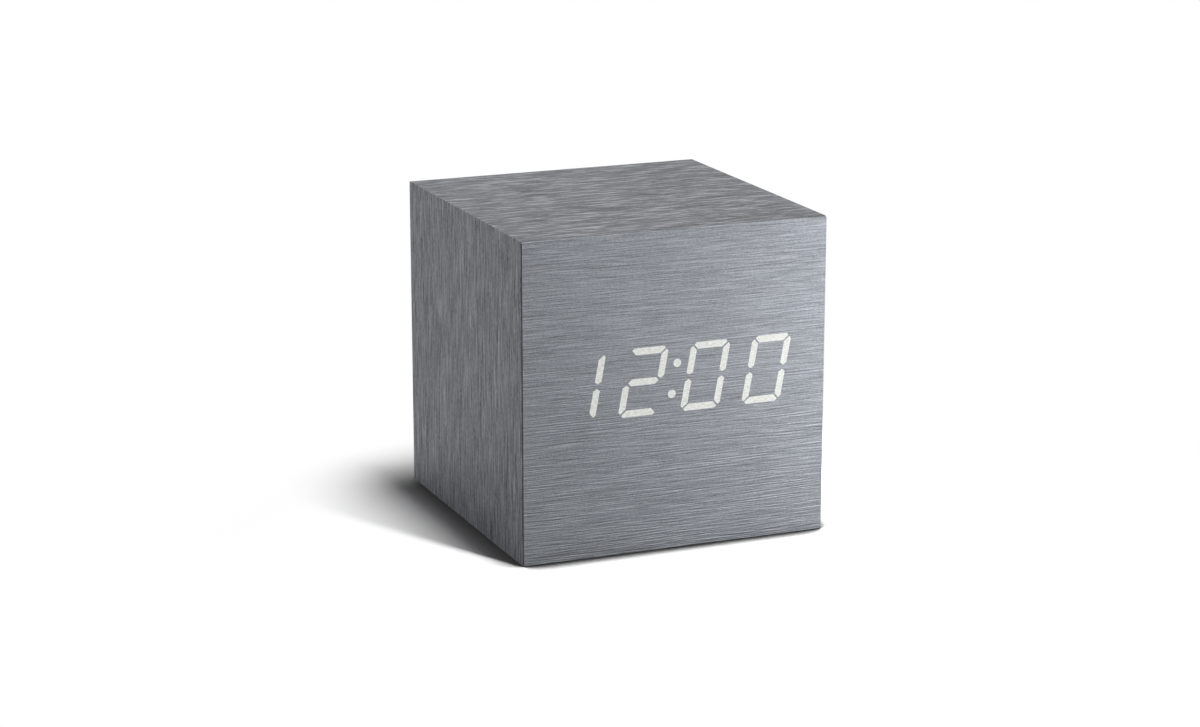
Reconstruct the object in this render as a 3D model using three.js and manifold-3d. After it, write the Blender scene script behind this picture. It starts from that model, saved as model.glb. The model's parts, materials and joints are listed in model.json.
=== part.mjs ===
// Cube alarm clock: a laminated MDF box with an LED display behind its front sheet, and a
// moulded rear cover that carries the cells, the three keys and the power socket.
// Millimetres, +Z up, front towards -Y, origin in the middle of the base.
import * as THREE from "three";
import { mergeVertices } from "three/addons/utils/BufferGeometryUtils.js";
import Module from "manifold-3d";

const wasm = await Module();
wasm.setup();

// Fits
const GLUE_LINE = 0.05; // between glued faces
const SEAT = 0.1; // between pieces that rest on each other
const SLIP = 0.2; // round pieces that move, or that drop into a hole

// Box of MDF boards under brushed laminate
const BOARD = 5; // thickness of the front board and the four sides
const FOIL = 0.3; // laminate wrapped round the four sides
const SHEET = 0.4; // brushed sheet that the segments shine through
const EDGE_BREAK = 0.15; // chamfer of the laminate's edges
const BLOCK = 7.5; // glue blocks in the rear corners
const BLOCK_LENGTH = 12;

// Seven-segment digits, 0.56 inch class
const DIGIT_HEIGHT = 14.4;
const DIGIT_WIDTH = 8.9; // over the outer edges of its strokes
const DIGIT_PITCH = 13.95;
const DIGIT_SLANT = 0.185; // sideways run for each millimetre of height
const STROKE = 1.45;
const SEGMENT_GAP = 0.35;
const SEGMENT_BLUNT = 0.45; // how far the corner tips are cut back
const SEGMENT_TIP = 0.5; // length of the points that meet at the middle bar
const TIP_SPACING = 0.9; // between those points
const COLON_DOT = 1.75;
const COLON_SPREAD = 6.46;
const DISPLAY_X = -0.4; // the display sits a little left of the middle
const DISPLAY_RISE = 2.6; // and above it

// Display module
const MASK_MARGIN = 0.9; // round the outermost segments
const MASK_RIM = 0.6;
const MASK_POCKET = 1.6; // depth of the recess for the light guide's plate
const WINDOW_PLAY = 0.15;
const GUIDE_PLATE = 1;
const GUIDE_PLAY = 0.1; // round each lens of the light guide
const LED = [1, 0.4, 0.5]; // width, height off the board, depth
const PCB = 1.6;
const PCB_PLAY = 0.4; // between the display board and the sides
const PCB_LAND = 6.5; // strip above and below the window for the screws

// Pieces on the back of the display board
const PART_GAP = 1.1; // between neighbours
const CHIP = [12.8, 2.3, 7.5]; // width, height off the board, depth
const CHIP_LEG = [0.45, 1.4]; // width and reach
const CHIP_LEGS = 8; // along each side
const CRYSTAL = [11, 3.6, 4.4];
const CAPACITOR = [3.1, 7.5]; // radius, height
const PLUG = [13, 6, 5];
const BUZZER = [6, 7.5];
const MICROPHONE = [3, 4.6];
const COIN = [10, 3.2];
const COIN_WALL = 1.2;
const COIN_FLOOR = 0.8;

// Cells, springs and contacts
const CELL_LENGTH = 44.5;
const CELL_DIAMETER = 10.5;
const CELL_ROWS = 3;
const CELL_ROW_GAP = 0.5;
const CELL_PLAY = 0.3; // round a cell in its channel
const NUB = [1.9, 0.9]; // radius, length
const CONTACT = 0.4; // thickness of the contact plates
const CONTACT_WIDTH = 8.6;
const TAB = [2.4, 2]; // solder tab: width, reach out of the tray
const SPRING_LENGTH = 3.6; // pressed between contact and cell
const SPRING_WIRE = 0.5;
const SPRING_RADII = [3.9, 2.4];
const SPRING_TURNS = 2.5;
const CURL_STEPS = 8;

// Rear cover and battery door
const COVER_PLATE = 2.4;
const COVER_RECESS = 1; // below the rear rim of the box
const COVER_GAP = 0.3;
const COVER_LAND = 2.25; // between the tray and the cover's edge
const COVER_CORNER = 1;
const TRAY_WALL = 1.4;
const LEDGE = 1.3; // that the door rests on
const KEY_STRIP = 10.2; // above the door, at least
const DOOR = 1.6;
const DOOR_TAB = [5, 1, 2.2]; // width, thickness, reach under the cover
const DOOR_TAB_X = 15;
const LATCH = [9, 7, 0.7]; // width and length of the tongue, width of the slots beside it
const LATCH_NOSE = 0.4; // how far its nose reaches into the ledge
const FINGER_NOTCH = [6, 1.2]; // radius, depth
const GRIP = [18, 0.8, 0.4]; // width, height and rise of each grip bar
const GRIP_BARS = 5;
const GRIP_PITCH = 2;
const SOUND_SLOT = [1.2, 5];
const SOUND_SLOTS = 5;
const SOUND_PITCH = 2.6;

// Keys, their switches and the power socket
const KEY_PITCH = 11;
const KEY_RADIUS = 2.3;
const KEY_RISE = 0.9; // out of the cover
const KEY_TRAVEL = 0.5;
const FLANGE = [0.6, 0.8]; // overhang and thickness of a key's flange
const SWITCH = 4.6;
const SWITCH_HEIGHT = 3.4;
const PLUNGER_RADIUS = 1.2;
const PLUNGER_RISE = 0.9;
const KEY_BOARD_HEIGHT = 8.4;
const KEY_BOARD_END = 4; // past the outer keys
const BOSS_RADIUS = 2;
const KEY_PLUG = [10, 4, 4.4];
const JACK = 6.2;
const JACK_NOSE = 3; // radius
const JACK_BORE = 1.8; // radius
const JACK_PIN = 0.65; // radius

// Screws: head radius, head height, shank radius, length
const COVER_SCREW = [2.4, 1.3, 1.3, 10];
const DISPLAY_SCREW = [1.8, 1.3, 1, 5];
const KEY_SCREW = [1.7, 1.2, 0.8, 5];
const SCREW_PLAY = 0.15;

// Leads
const LEAD_RADIUS = 0.6;
const RIBBON = [7.6, 0.8]; // width, thickness

// Sizes that follow: the box is made as wide as what it has to hold
const bayLength = CELL_LENGTH + SPRING_LENGTH + 2 * CONTACT + 5 * SEAT;
const rowPitch = CELL_DIAMETER + CELL_ROW_GAP;
const channel = CELL_DIAMETER / 2 + CELL_PLAY;
const bay = { x: bayLength / 2, z: ((CELL_ROWS - 1) * rowPitch) / 2 + channel + SLIP };
const tray = { x: bay.x + TRAY_WALL, z: bay.z + TRAY_WALL };
const recess = { x: bay.x + LEDGE, z: bay.z + LEDGE };
const lean = (DIGIT_SLANT * DIGIT_HEIGHT) / 2;
const mask = {
  x: 1.5 * DIGIT_PITCH + DIGIT_WIDTH / 2 + lean + MASK_MARGIN,
  z: DIGIT_HEIGHT / 2 + MASK_MARGIN,
};
const inside = Math.max(
  tray.x + COVER_LAND + COVER_GAP,
  recess.z + KEY_STRIP + COVER_GAP,
  1.5 * KEY_PITCH + KEY_BOARD_END + BLOCK + COVER_GAP,
  mask.x + Math.abs(DISPLAY_X) + WINDOW_PLAY + PCB_PLAY,
);
const half = inside + BOARD + GLUE_LINE + FOIL; // half the edge of the cube
const middle = half; // height of its centre
const boardEdge = half - FOIL - GLUE_LINE;

// Depths, from the front back
const sheetBack = -half + SHEET;
const frontBoard = [sheetBack + GLUE_LINE, sheetBack + GLUE_LINE + BOARD];
const displayBoard = [frontBoard[1] + SEAT, frontBoard[1] + SEAT + PCB];
const coverRear = half - COVER_RECESS;
const coverInner = coverRear - COVER_PLATE;
const doorInner = coverRear - DOOR;
const ledge = doorInner - SEAT;
const cellY = ledge - SLIP - CELL_DIAMETER / 2;
const trayFront = cellY - channel - TRAY_WALL;
const flangeInner = coverInner - SEAT - FLANGE[1];
const plungerTop = flangeInner - SEAT;
const switchTop = plungerTop - PLUNGER_RISE;
const keyBoard = [switchTop - SWITCH_HEIGHT - SEAT - PCB, switchTop - SWITCH_HEIGHT - SEAT];

// Heights and places across
const displayZ = middle + DISPLAY_RISE;
const cover = inside - COVER_GAP;
const keyZ = middle + (recess.z + cover) / 2;
const soundZ = middle - (recess.z + cover) / 2;
const blockAt = inside - GLUE_LINE - BLOCK / 2;
const keyX = [-1.5, -0.5, 0.5, 1.5].map((station) => station * KEY_PITCH);
const rowZ = (row) => middle + ((CELL_ROWS - 1) / 2 - row) * rowPitch;

function solid(geometry) {
  const bare = geometry.clone();
  bare.deleteAttribute("normal");
  bare.deleteAttribute("uv");
  const joined = mergeVertices(bare, 1e-4);
  const mesh = new wasm.Mesh({
    numProp: 3,
    vertProperties: new Float32Array(joined.attributes.position.array),
    triVerts: new Uint32Array(joined.index.array),
  });
  return new wasm.Manifold(mesh);
}

function geometryOf(body) {
  const mesh = body.getMesh();
  const geometry = new THREE.BufferGeometry();
  geometry.setAttribute("position", new THREE.BufferAttribute(mesh.vertProperties, 3));
  geometry.setIndex(new THREE.BufferAttribute(mesh.triVerts, 1));
  return geometry;
}

const join = (...pieces) => geometryOf(pieces.map(solid).reduce((sum, piece) => sum.add(piece)));

function cut(body, ...tools) {
  return geometryOf(tools.map(solid).reduce((left, tool) => left.subtract(tool), solid(body)));
}

const outline = (points) => new THREE.Shape(points.map(([x, z]) => new THREE.Vector2(x, z)));

// A square outline about (0, middle), its corners cut off by a chamfer
function square(edge, chamfer) {
  const corner = [[edge, edge - chamfer], [edge - chamfer, edge]];
  const points = [];
  for (const [sx, sz] of [[1, 1], [-1, 1], [-1, -1], [1, -1]]) {
    const ends = corner.map(([x, z]) => [sx * x, middle + sz * z]);
    points.push(...(sx * sz > 0 ? ends : ends.reverse()));
  }
  return points;
}

// An outline across X and Z, drawn out along Y
function slab(shape, [y0, y1]) {
  const how = { depth: y1 - y0, bevelEnabled: false, curveSegments: 6 };
  const body = new THREE.ExtrudeGeometry(shape, how);
  return body.rotateX(Math.PI / 2).translate(0, y1, 0);
}

// A box between two coordinates on each axis
function block(x, y, z) {
  const spans = [x, y, z];
  const body = new THREE.BoxGeometry(...spans.map(([from, to]) => to - from));
  return body.translate(...spans.map(([from, to]) => (from + to) / 2));
}

const about = (centre, width) => [centre - width / 2, centre + width / 2];

// A turned piece about a line along Y: pairs of radius and distance behind y
function turned(profile, [x, y, z], sides) {
  const points = profile.map(([radius, along]) => new THREE.Vector2(radius, along));
  return new THREE.LatheGeometry(points, sides).translate(x, y, z);
}

function rod(radius, [y0, y1], x, z, sides = 20) {
  return turned([[0, 0], [radius, 0], [radius, y1 - y0], [0, y1 - y0]], [x, y0, z], sides);
}

// A round wire swept along points, with square ends
function wire(points, radius, sides) {
  const line = points.map((point) => new THREE.Vector3(...point));
  const last = line.length - 1;
  const across = new THREE.Vector3(0, 0.3, 1);
  const rings = line.flatMap((centre, i) => {
    const along = line[Math.min(i + 1, last)].clone().sub(line[Math.max(i - 1, 0)]).normalize();
    across.addScaledVector(along, -across.dot(along)).normalize();
    const up = along.clone().cross(across);
    return Array.from({ length: sides }, (_, k) => {
      const turn = (2 * Math.PI * k) / sides;
      const ring = centre.clone().addScaledVector(across, radius * Math.cos(turn));
      return ring.addScaledVector(up, radius * Math.sin(turn));
    });
  });
  const faces = [];
  for (let i = 0; i < last; i++) {
    for (let k = 0; k < sides; k++) {
      const [a, b] = [i * sides + k, i * sides + ((k + 1) % sides)];
      faces.push(a, b, b + sides, a, b + sides, a + sides);
    }
  }
  for (let k = 1; k < sides - 1; k++) {
    faces.push(0, k + 1, k, last * sides, last * sides + k, last * sides + k + 1);
  }
  return new THREE.BufferGeometry().setFromPoints(rings).setIndex(faces);
}

// A pan-head screw with a cross recess: its head's seat at y, its shank towards the front
function screw([headRadius, headHeight, shankRadius, length], [x, y, z], sides) {
  const profile = [
    [0, -length],
    [shankRadius, shankRadius - length],
    [shankRadius, 0],
    [headRadius, 0],
    [headRadius, headHeight * 0.5],
    [headRadius * 0.7, headHeight],
    [0, headHeight],
  ];
  const arm = headRadius * 0.6;
  const depth = [headHeight * 0.4, headHeight + 1];
  const slots = [[arm, 0.3], [0.3, arm]].map(([w, h]) => block([-w, w], depth, [-h, h]));
  return cut(turned(profile, [0, 0, 0], sides), ...slots).translate(x, y, z);
}

const part = new THREE.Group();

function add(name, geometry, colour) {
  const mesh = new THREE.Mesh(geometry, new THREE.MeshStandardMaterial({ color: colour }));
  mesh.name = name;
  part.add(mesh);
}

const BRUSHED = 0x9a9ca0;
const MDF = 0xa07c55;
const BLACK = 0x1d1d1f;
const GREEN = 0x1f4a33;
const METAL = 0xb9bcc0;
const WHITE = 0xe8e9e4;

// The box: a brushed sheet on a front board, and four mitred sides with laminate folded
// round them and over their rear edges.
function buildBox() {
  const face = new THREE.ExtrudeGeometry(outline(square(half - EDGE_BREAK, EDGE_BREAK)), {
    depth: SHEET - 2 * EDGE_BREAK,
    bevelThickness: EDGE_BREAK,
    bevelSize: EDGE_BREAK,
    bevelSegments: 1,
  });
  add("front_sheet", face.rotateX(Math.PI / 2).translate(0, sheetBack - EDGE_BREAK, 0), BRUSHED);

  const windowX = mask.x + WINDOW_PLAY;
  const windowZ = mask.z + WINDOW_PLAY;
  const pilots = displayScrewPlaces().map(([x, z]) =>
    rod(DISPLAY_SCREW[2] + SCREW_PLAY, [frontBoard[1] - 4, frontBoard[1] + 1], x, z, 10),
  );
  const front = cut(
    slab(outline(square(boardEdge, 0.01)), frontBoard),
    block(about(DISPLAY_X, 2 * windowX), [-half, 0], about(displayZ, 2 * windowZ)),
    ...pilots,
  );
  add("front_board", front, MDF);

  const depth = [frontBoard[1] + GLUE_LINE, half - FOIL - GLUE_LINE];
  const mitre = outline([
    [-boardEdge + GLUE_LINE, boardEdge],
    [-inside + GLUE_LINE, inside],
    [inside - GLUE_LINE, inside],
    [boardEdge - GLUE_LINE, boardEdge],
  ]);
  ["top_board", "right_board", "bottom_board", "left_board"].forEach((name, quarter) => {
    const side = slab(mitre, depth).rotateY((quarter * Math.PI) / 2).translate(0, 0, middle);
    add(name, side, MDF);
  });

  // One length of laminate, drawn as four sheets that meet along the folds
  const fold = (inner) => {
    const end = [
      [half - EDGE_BREAK, half],
      [half - EDGE_BREAK / 2 - GLUE_LINE, half - EDGE_BREAK / 2],
      [inner - GLUE_LINE, inner],
    ];
    return outline([...end, ...end.map(([x, z]) => [-x, z]).reverse()]);
  };
  const laminate = join(
    slab(fold(half - FOIL), [sheetBack + GLUE_LINE, half]),
    slab(fold(inside), [half - FOIL, half]),
  );
  ["top_foil", "right_foil", "bottom_foil", "left_foil"].forEach((name, quarter) => {
    const sheet = laminate.clone().rotateY((quarter * Math.PI) / 2).translate(0, 0, middle);
    add(name, sheet, BRUSHED);
  });
}

// Glue blocks in the corners, which take the rear cover's screws
function buildBlocks() {
  const rear = coverInner - SEAT;
  const places = { top_left: [-1, 1], top_right: [1, 1], bottom_left: [-1, -1], bottom_right: [1, -1] };
  for (const [corner, [sx, sz]] of Object.entries(places)) {
    const [x, z] = [sx * blockAt, middle + sz * blockAt];
    const pilot = rod(COVER_SCREW[2] + SCREW_PLAY, [rear - 9, rear + 1], x, z, 14);
    const wood = block(about(x, BLOCK), [rear - BLOCK_LENGTH, rear], about(z, BLOCK));
    add(`corner_block_${corner}`, cut(wood, pilot), MDF);
    const seat = coverRear - COVER_SCREW[1] - SEAT;
    add(`cover_screw_${corner}`, screw(COVER_SCREW, [x, seat, z], 16), METAL);
  }
}

// The outlines of one digit's seven segments about its centre, drawn in on all sides
function digitOutlines(inset) {
  const [w, h] = [DIGIT_WIDTH / 2 - inset, DIGIT_HEIGHT / 2 - inset];
  const s = STROKE - 2 * inset;
  const gap = SEGMENT_GAP + 2 * inset;
  const mitre = gap * Math.SQRT1_2;
  const b = SEGMENT_BLUNT;
  const tip = TIP_SPACING / 2 + inset;
  const end = [[w - mitre - 2 * b, h], [w - mitre - b, h - b], [w - mitre - s, h - s]];
  const flip = (points, sx, sz) => points.map(([x, z]) => [sx * x, sz * z]);
  const bar = [...end, ...flip(end, -1, 1).reverse()];
  const side = [
    [w, h - mitre - 2 * b],
    [w - b, h - mitre - b],
    [w - s, h - mitre - s],
    [w - s, tip + SEGMENT_TIP],
    [w - s / 2, tip],
    [w, tip + SEGMENT_TIP],
  ];
  const point = w - s / 2 - gap;
  const shoulder = point - s / 2;
  const upper = [[point, 0], [shoulder, s / 2], [-shoulder, s / 2]];
  const centre = [...upper, ...flip(upper, -1, -1)];
  return [
    bar,
    side,
    flip(side, 1, -1),
    flip(bar, 1, -1),
    flip(side, -1, -1),
    flip(side, -1, 1),
    centre,
  ];
}

// All the light openings of the display: four leaning digits and the colon
function lightOutlines(inset) {
  const leaning = (points, x) =>
    points.map(([px, pz]) => [DISPLAY_X + x + px + DIGIT_SLANT * pz, displayZ + pz]);
  const digits = [-1.5, -0.5, 0.5, 1.5].flatMap((place) =>
    digitOutlines(inset).map((points) => leaning(points, place * DIGIT_PITCH)),
  );
  const radius = COLON_DOT / 2 - inset;
  const dots = [0.5, -0.5].map((side) => {
    const [x, z] = [DISPLAY_X + DIGIT_SLANT * side * COLON_SPREAD, displayZ + side * COLON_SPREAD];
    return Array.from({ length: 12 }, (_, k) => {
      const turn = (k * Math.PI) / 6;
      return [x + radius * Math.cos(turn), z + radius * Math.sin(turn)];
    });
  });
  return [...digits, ...dots];
}

function displayScrewPlaces() {
  const x = inside - PCB_PLAY - 3.2;
  const z = mask.z + WINDOW_PLAY + PCB_LAND - 3;
  return [[-x, displayZ + z], [x, displayZ - z]];
}

// The display module: a black mask with a clear light guide in its openings, on a board
// that carries one LED behind each lens.
function buildDisplay() {
  const rear = displayBoard[0] - SEAT;
  const front = frontBoard[0] + SEAT;
  const floor = rear - MASK_POCKET;
  const pocket = { x: mask.x - MASK_RIM, z: mask.z - MASK_RIM };
  const openings = lightOutlines(0).map((points) => slab(outline(points), [-half, 0]));
  const body = cut(
    block(about(DISPLAY_X, 2 * mask.x), [front, rear], about(displayZ, 2 * mask.z)),
    block(about(DISPLAY_X, 2 * pocket.x), [floor, 0], about(displayZ, 2 * pocket.z)),
    ...openings,
  );
  add("segment_mask", body, BLACK);

  const plate = [floor + SEAT, floor + SEAT + GUIDE_PLATE];
  const lenses = lightOutlines(GUIDE_PLAY).map((points) =>
    slab(outline(points), [front + GLUE_LINE, plate[0] + 0.2]),
  );
  const guide = block(
    about(DISPLAY_X, 2 * (pocket.x - SLIP)),
    plate,
    about(displayZ, 2 * (pocket.z - SLIP)),
  );
  add("light_guide", join(guide, ...lenses), WHITE);

  const boardX = inside - PCB_PLAY;
  const boardZ = mask.z + WINDOW_PLAY + PCB_LAND;
  const leds = lightOutlines(0).map((points) => {
    const mean = (axis) => points.reduce((sum, point) => sum + point[axis], 0) / points.length;
    const [width, height, depth] = LED;
    return block(
      about(mean(0), width),
      [displayBoard[0] - height, displayBoard[0] + 0.2],
      about(mean(1), depth),
    );
  });
  const holes = displayScrewPlaces().map(([x, z]) =>
    rod(DISPLAY_SCREW[2] + SCREW_PLAY, [-half, 0], x, z, 10),
  );
  const board = block([-boardX, boardX], displayBoard, about(displayZ, 2 * boardZ));
  add("display_board", cut(join(board, ...leds), ...holes), GREEN);
  displayScrewPlaces().forEach(([x, z], i) => {
    const place = [x, displayBoard[1] + SEAT, z];
    add(`display_screw_${i + 1}`, screw(DISPLAY_SCREW, place, 8), METAL);
  });
}

// Clock chip, crystal, capacitor, plug, buzzer, microphone and the backup coin cell,
// all soldered to the back of the display board.
function buildElectronics() {
  const y = displayBoard[1] + SEAT;
  const top = displayZ + mask.z + WINDOW_PLAY + PCB_LAND - PART_GAP;
  const holderRadius = COIN[0] + SLIP + COIN_WALL;
  const coinX = -inside + PCB_PLAY + PART_GAP + holderRadius;
  const columnX = coinX + holderRadius + PART_GAP + Math.max(CHIP[0], CRYSTAL[0], PLUG[0]) / 2;
  const roundX = columnX + Math.max(CHIP[0], PLUG[0]) / 2 + PART_GAP + BUZZER[0];

  const holder = turned(
    [
      [0, 0],
      [holderRadius, 0],
      [holderRadius, COIN_FLOOR + COIN[1] + SEAT],
      [COIN[0] + SLIP, COIN_FLOOR + COIN[1] + SEAT],
      [COIN[0] + SLIP, COIN_FLOOR],
      [0, COIN_FLOOR],
    ],
    [coinX, y, displayZ],
    24,
  );
  const lift = block(about(coinX, 8), [y + COIN_FLOOR, y + 20], [displayZ, displayZ + 20]);
  add("coin_holder", cut(holder, lift), BLACK);
  const coin = [[0, 0], [COIN[0] - 1.2, 0], [COIN[0], 0.6], [COIN[0], COIN[1]], [0, COIN[1]]];
  add("backup_coin_cell", turned(coin, [coinX, y + COIN_FLOOR + SEAT, displayZ], 24), METAL);

  const plugZ = top - PLUG[2] / 2;
  const plug = block(about(columnX, PLUG[0]), [y, y + PLUG[1]], about(plugZ, PLUG[2]));
  add("ribbon_plug", plug, WHITE);
  const chipZ = plugZ - PLUG[2] / 2 - PART_GAP - CHIP_LEG[1] - CHIP[2] / 2;
  const chip = block(about(columnX, CHIP[0]), [y + 0.3, y + CHIP[1]], about(chipZ, CHIP[2]));
  const legs = Array.from({ length: CHIP_LEGS }, (_, k) => {
    const x = columnX + (k - (CHIP_LEGS - 1) / 2) * (CHIP[0] / CHIP_LEGS);
    return block(about(x, CHIP_LEG[0]), [y, y + 0.9], about(chipZ, CHIP[2] + 2 * CHIP_LEG[1]));
  });
  add("clock_chip", join(chip, ...legs), BLACK);
  const crystalZ = chipZ - CHIP[2] / 2 - CHIP_LEG[1] - PART_GAP - CRYSTAL[2] / 2;
  const round = CRYSTAL[2] / 2;
  const can = new THREE.Shape()
    .absarc(columnX + CRYSTAL[0] / 2 - round, crystalZ, round, -Math.PI / 2, Math.PI / 2)
    .absarc(columnX - CRYSTAL[0] / 2 + round, crystalZ, round, Math.PI / 2, 1.5 * Math.PI);
  add("crystal", slab(can, [y, y + CRYSTAL[1]]), METAL);
  const capacitorZ = crystalZ - CRYSTAL[2] / 2 - PART_GAP - CAPACITOR[0];
  const [radius, tall] = CAPACITOR;
  const drum = [
    [0, 0],
    [radius, 0],
    [radius, tall * 0.12],
    [radius * 0.88, tall * 0.18],
    [radius, tall * 0.24],
    [radius, tall],
    [0, tall],
  ];
  add("capacitor", turned(drum, [columnX, y, capacitorZ], 20), BLACK);

  const [buzzerRadius, buzzerTall] = BUZZER;
  const sounder = [[0, 0], [buzzerRadius, 0], [buzzerRadius, buzzerTall], [1, buzzerTall], [1, 5], [0, 5]];
  const buzzerZ = displayZ - PART_GAP - buzzerRadius;
  add("buzzer", turned(sounder, [roundX, y, buzzerZ], 24), BLACK);
  const capsuleZ = displayZ + PART_GAP + MICROPHONE[0];
  add("microphone", rod(MICROPHONE[0], [y, y + MICROPHONE[1]], roundX, capsuleZ), METAL);
  return { columnX, plugZ, plugRear: y + PLUG[1] };
}

// The moulded rear cover with its battery tray: three half-round channels, pockets for the
// contacts at both ends, a ledge for the door, key holes, bosses and sound slots.
function buildCover() {
  const past = coverRear + 1;
  const plate = slab(outline(square(cover, COVER_CORNER)), [coverInner, coverRear]);
  const box = block([-tray.x, tray.x], [trayFront, coverRear], about(middle, 2 * tray.z));
  const bossX = [-KEY_PITCH, KEY_PITCH];
  const bosses = bossX.map((x) => rod(BOSS_RADIUS, [keyBoard[1] + SEAT, coverInner + 0.5], x, keyZ));
  const bossHoles = bossX.map((x) =>
    rod(KEY_SCREW[2] + SCREW_PLAY, [keyBoard[1], keyBoard[1] + 4], x, keyZ, 10),
  );

  const channels = Array.from({ length: CELL_ROWS }, (_, row) =>
    rod(channel, [-bay.x, bay.x], 0, 0, 28).rotateZ(-Math.PI / 2).translate(0, cellY, rowZ(row)),
  );
  const pocketDepth = 2 * SEAT + CONTACT + SLIP;
  const pockets = [-bay.x, bay.x - pocketDepth].map((x) =>
    block([x, x + pocketDepth], [cellY - channel + 1, ledge], about(middle, 2 * bay.z)),
  );
  const tabSlots = [[-1, 0], [1, CELL_ROWS - 1]].map(([side, row]) => {
    const x = side * (bay.x - SEAT - CONTACT / 2);
    return block(about(x, CONTACT + SLIP), [trayFront - 1, cellY], about(rowZ(row), TAB[0] + SLIP));
  });

  const doorFoot = middle - recess.z;
  const hingeSlots = [-DOOR_TAB_X, DOOR_TAB_X].flatMap((x) => {
    const width = about(x, DOOR_TAB[0] + 2 * SLIP);
    const under = coverInner - DOOR_TAB[1] - 1.4;
    return [
      block(width, [under, coverInner], [doorFoot - DOOR_TAB[2] - SLIP, doorFoot + LEDGE + 0.1]),
      block(width, [under, ledge + 0.1], [doorFoot, doorFoot + LEDGE + 0.1]),
    ];
  });
  const latchSlot = block(
    about(0, LATCH[0] + 2 * SLIP),
    [ledge - LATCH_NOSE - SEAT, past],
    [middle + bay.z - 0.1, middle + recess.z],
  );
  const notch = rod(FINGER_NOTCH[0], [coverRear - FINGER_NOTCH[1], past], 0, 0, 20);
  const [slotWidth, slotHeight] = SOUND_SLOT;
  const soundSlots = Array.from({ length: SOUND_SLOTS }, (_, k) => {
    const x = (k - (SOUND_SLOTS - 1) / 2) * SOUND_PITCH;
    return block(about(x, slotWidth), [coverInner - 1, past], about(soundZ, slotHeight));
  });
  const keyHoles = keyX.map((x, station) => {
    const radius = station < 3 ? KEY_RADIUS : JACK_NOSE;
    return rod(radius + SLIP, [coverInner - 1, past], x, keyZ, 20);
  });
  const screwHoles = [-blockAt, blockAt].flatMap((x) =>
    [-blockAt, blockAt].flatMap((z) => [
      rod(COVER_SCREW[2] + SCREW_PLAY, [coverInner - 1, past], x, middle + z, 14),
      rod(COVER_SCREW[0] + SLIP, [coverRear - COVER_SCREW[1] - 2 * SEAT, past], x, middle + z, 20),
    ]),
  );
  const body = cut(
    join(plate, box, ...bosses),
    block([-recess.x, recess.x], [ledge, past], about(middle, 2 * recess.z)),
    block([-bay.x, bay.x], [cellY, past], about(middle, 2 * bay.z)),
    notch.scale(1, 1, 0.4).translate(0, 0, middle + recess.z),
    latchSlot,
    ...channels,
    ...pockets,
    ...tabSlots,
    ...hingeSlots,
    ...soundSlots,
    ...keyHoles,
    ...screwHoles,
    ...bossHoles,
  );
  add("rear_cover", body, BLACK);
}

// The battery door: tabs under the cover at its foot, a sprung tongue at its top
function buildDoor() {
  const [wide, tall] = [recess.x - SLIP, recess.z - SLIP];
  const [foot, head] = [middle - tall, middle + tall];
  const [tabWidth, tabThick, tabReach] = DOOR_TAB;
  const tabRear = coverInner - SLIP;
  const tabs = [-DOOR_TAB_X, DOOR_TAB_X].flatMap((x) => [
    block(about(x, tabWidth), [tabRear - tabThick, tabRear], [foot - tabReach, foot + LEDGE - SLIP]),
    block(about(x, tabWidth), [tabRear - tabThick, doorInner + 0.2], [foot, foot + LEDGE - SLIP]),
  ]);
  const [latchWidth, latchLength, slot] = LATCH;
  const slots = [-1, 1].map((side) =>
    block(
      about(side * (latchWidth + slot) * 0.5, slot),
      [doorInner - 1, coverRear + 1],
      [head - latchLength, head + 1],
    ),
  );
  const nose = block(about(0, latchWidth), [ledge - LATCH_NOSE, doorInner + 0.2], [head - 1, head]);
  const bars = Array.from({ length: GRIP_BARS }, (_, k) => {
    const z = head - latchLength - 3 - k * GRIP_PITCH;
    return block(about(0, GRIP[0]), [coverRear - 0.2, coverRear + GRIP[2]], about(z, GRIP[1]));
  });
  const plate = block([-wide, wide], [doorInner, coverRear], [foot, head]);
  add("battery_door", cut(join(plate, nose, ...tabs, ...bars), ...slots), BLACK);
}

// The spring's centre line: a cone of curls whose ends run straight into plate and cell
function springLine(from, to, z) {
  const curls = SPRING_TURNS * CURL_STEPS;
  const run = to - from;
  const straight = Math.sign(run) * SPRING_WIRE;
  const at = (x, turn) => {
    const share = turn / SPRING_TURNS;
    const radius = SPRING_RADII[0] + (SPRING_RADII[1] - SPRING_RADII[0]) * share;
    const angle = 2 * Math.PI * turn;
    return [x, cellY + radius * Math.cos(angle), z + radius * Math.sin(angle)];
  };
  const points = [at(from, 0)];
  for (let k = 0; k <= curls; k++) {
    points.push(at(from + straight + ((run - 2 * straight) * k) / curls, k / CURL_STEPS));
  }
  points.push(at(to, SPRING_TURNS));
  return points;
}

// Least clear distance between one curl and the next
function curlGap(points) {
  let least = Infinity;
  points.forEach((p, i) => {
    for (let k = i + CURL_STEPS - 1; k < points.length - 1; k++) {
      least = Math.min(least, Math.hypot(...p.map((v, axis) => v - points[k][axis])));
    }
  });
  return least - SPRING_WIRE;
}

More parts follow.
